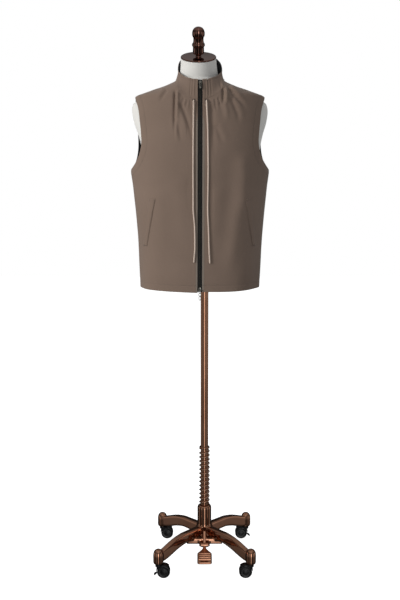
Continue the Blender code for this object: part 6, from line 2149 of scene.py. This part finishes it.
def area_light(name, place_at, aim, size, power, colour=(1.0, 1.0, 1.0)):
    data = bpy.data.lights.new(name, "AREA")
    data.shape, data.size, data.size_y = "RECTANGLE", size[0], size[1]
    data.energy, data.color = power, colour
    lamp = linked(name, data)
    lamp.location = place_at
    lamp.rotation_euler = (Vector(aim) - Vector(place_at)).to_track_quat("-Z", "Y").to_euler()
    lamp.visible_glossy = False


def surroundings():
    """White behind the object, and for its reflections a dim studio with bright upright panels."""
    world = bpy.data.worlds.new("studio")
    bpy.context.scene.world = world
    world.use_nodes = True
    tree = world.node_tree
    tree.nodes.clear()

    def math(operation, a, b=None):
        made = tree.nodes.new("ShaderNodeMath")
        made.operation = operation
        for socket, value in zip(made.inputs, (a, b)):
            if isinstance(value, (int, float)):
                socket.default_value = value
            elif value is not None:
                tree.links.new(value, socket)
        return made.outputs[0]

    def step(value, low, high, start, end):
        made = tree.nodes.new("ShaderNodeMapRange")
        made.interpolation_type = "SMOOTHSTEP"
        for name, number in (("From Min", low), ("From Max", high), ("To Min", start), ("To Max", end)):
            made.inputs[name].default_value = number
        tree.links.new(value, made.inputs["Value"])
        return made.outputs["Result"]

    coords = tree.nodes.new("ShaderNodeTexCoord")
    parts = tree.nodes.new("ShaderNodeSeparateXYZ")
    tree.links.new(coords.outputs["Generated"], parts.inputs[0])
    side, depth, height = parts.outputs
    azimuth = math("ARCTAN2", side, math("MULTIPLY", depth, -1.0))
    light = step(math("ABSOLUTE", azimuth), radians(10), radians(85), FRONT_GLOW, SIDE_GLOW)
    low = step(height, 0.06, 0.30, 1.0, PANEL_ABOVE)
    for centre, half, soft, power in PANELS:
        away = math("ABSOLUTE", math("SUBTRACT", azimuth, radians(centre)))
        panel = math("MULTIPLY", step(away, radians(half), radians(half + soft), power, 0.0), low)
        light = math("ADD", light, panel)
    light = math("MULTIPLY", light, step(height, -0.55, -0.12, 0.12, 1.0))
    light = math("ADD", light, step(height, 0.42, 0.75, 0.0, CEILING_GLOW))
    mirror = tree.nodes.new("ShaderNodeBackground")
    tree.links.new(light, mirror.inputs["Strength"])
    fill = tree.nodes.new("ShaderNodeBackground")
    fill.inputs["Strength"].default_value = FILL_LIGHT
    white = tree.nodes.new("ShaderNodeBackground")
    white.inputs["Strength"].default_value = 1.0
    for shader in (mirror, fill, white):
        shader.inputs["Color"].default_value = (1.0, 1.0, 1.0, 1.0)
    ray = tree.nodes.new("ShaderNodeLightPath")
    first = tree.nodes.new("ShaderNodeMixShader")
    second = tree.nodes.new("ShaderNodeMixShader")
    tree.links.new(ray.outputs["Is Glossy Ray"], first.inputs[0])
    tree.links.new(fill.outputs[0], first.inputs[1])
    tree.links.new(mirror.outputs[0], first.inputs[2])
    tree.links.new(ray.outputs["Is Camera Ray"], second.inputs[0])
    tree.links.new(first.outputs[0], second.inputs[1])
    tree.links.new(white.outputs[0], second.inputs[2])
    out = tree.nodes.new("ShaderNodeOutputWorld")
    tree.links.new(second.outputs[0], out.inputs["Surface"])


# ---- the whole -----------------------------------------------------------------------------
make_camera()
drawcords()
eyelets()
cloth = vest_cloth()
collar = collar_cloth()
welts = pocket_welts()
stitches = many("stitches", capsule(STITCH_LENGTH, STITCH_RADIUS, 6, 0.8), stitch_lines(cloth, collar, welts),
                LOOKS["shell_cloth"])
place(stitches, "form", "shell_cloth")
zip_pieces()
zip_sliders()
form_torso()
form_fittings()
pole_pieces()
base_cast()
pedal_cast()
caster_pieces()

board = frame["nodes"]["form_board"]
for slot in board.material_slots:
    slot.material = LOOKS["board"]

floor_piece()
area_light("key", (-3.25, -2.15, 2.1), (0, 0, 1.15), (1.1, 1.5), KEY_POWER, (1.0, 0.99, 0.97))
area_light("top", (0.0, 0.4, 3.6), (0, 0, 1.0), (2.0, 2.0), TOP_POWER)
area_light("behind", (0.6, 2.8, 2.0), (0, 0, 1.1), (2.0, 2.0), BEHIND_POWER)
surroundings()

scene = bpy.context.scene
scene.view_settings.view_transform = "Standard"
scene.view_settings.look = "None"
scene.view_settings.exposure = 0.0
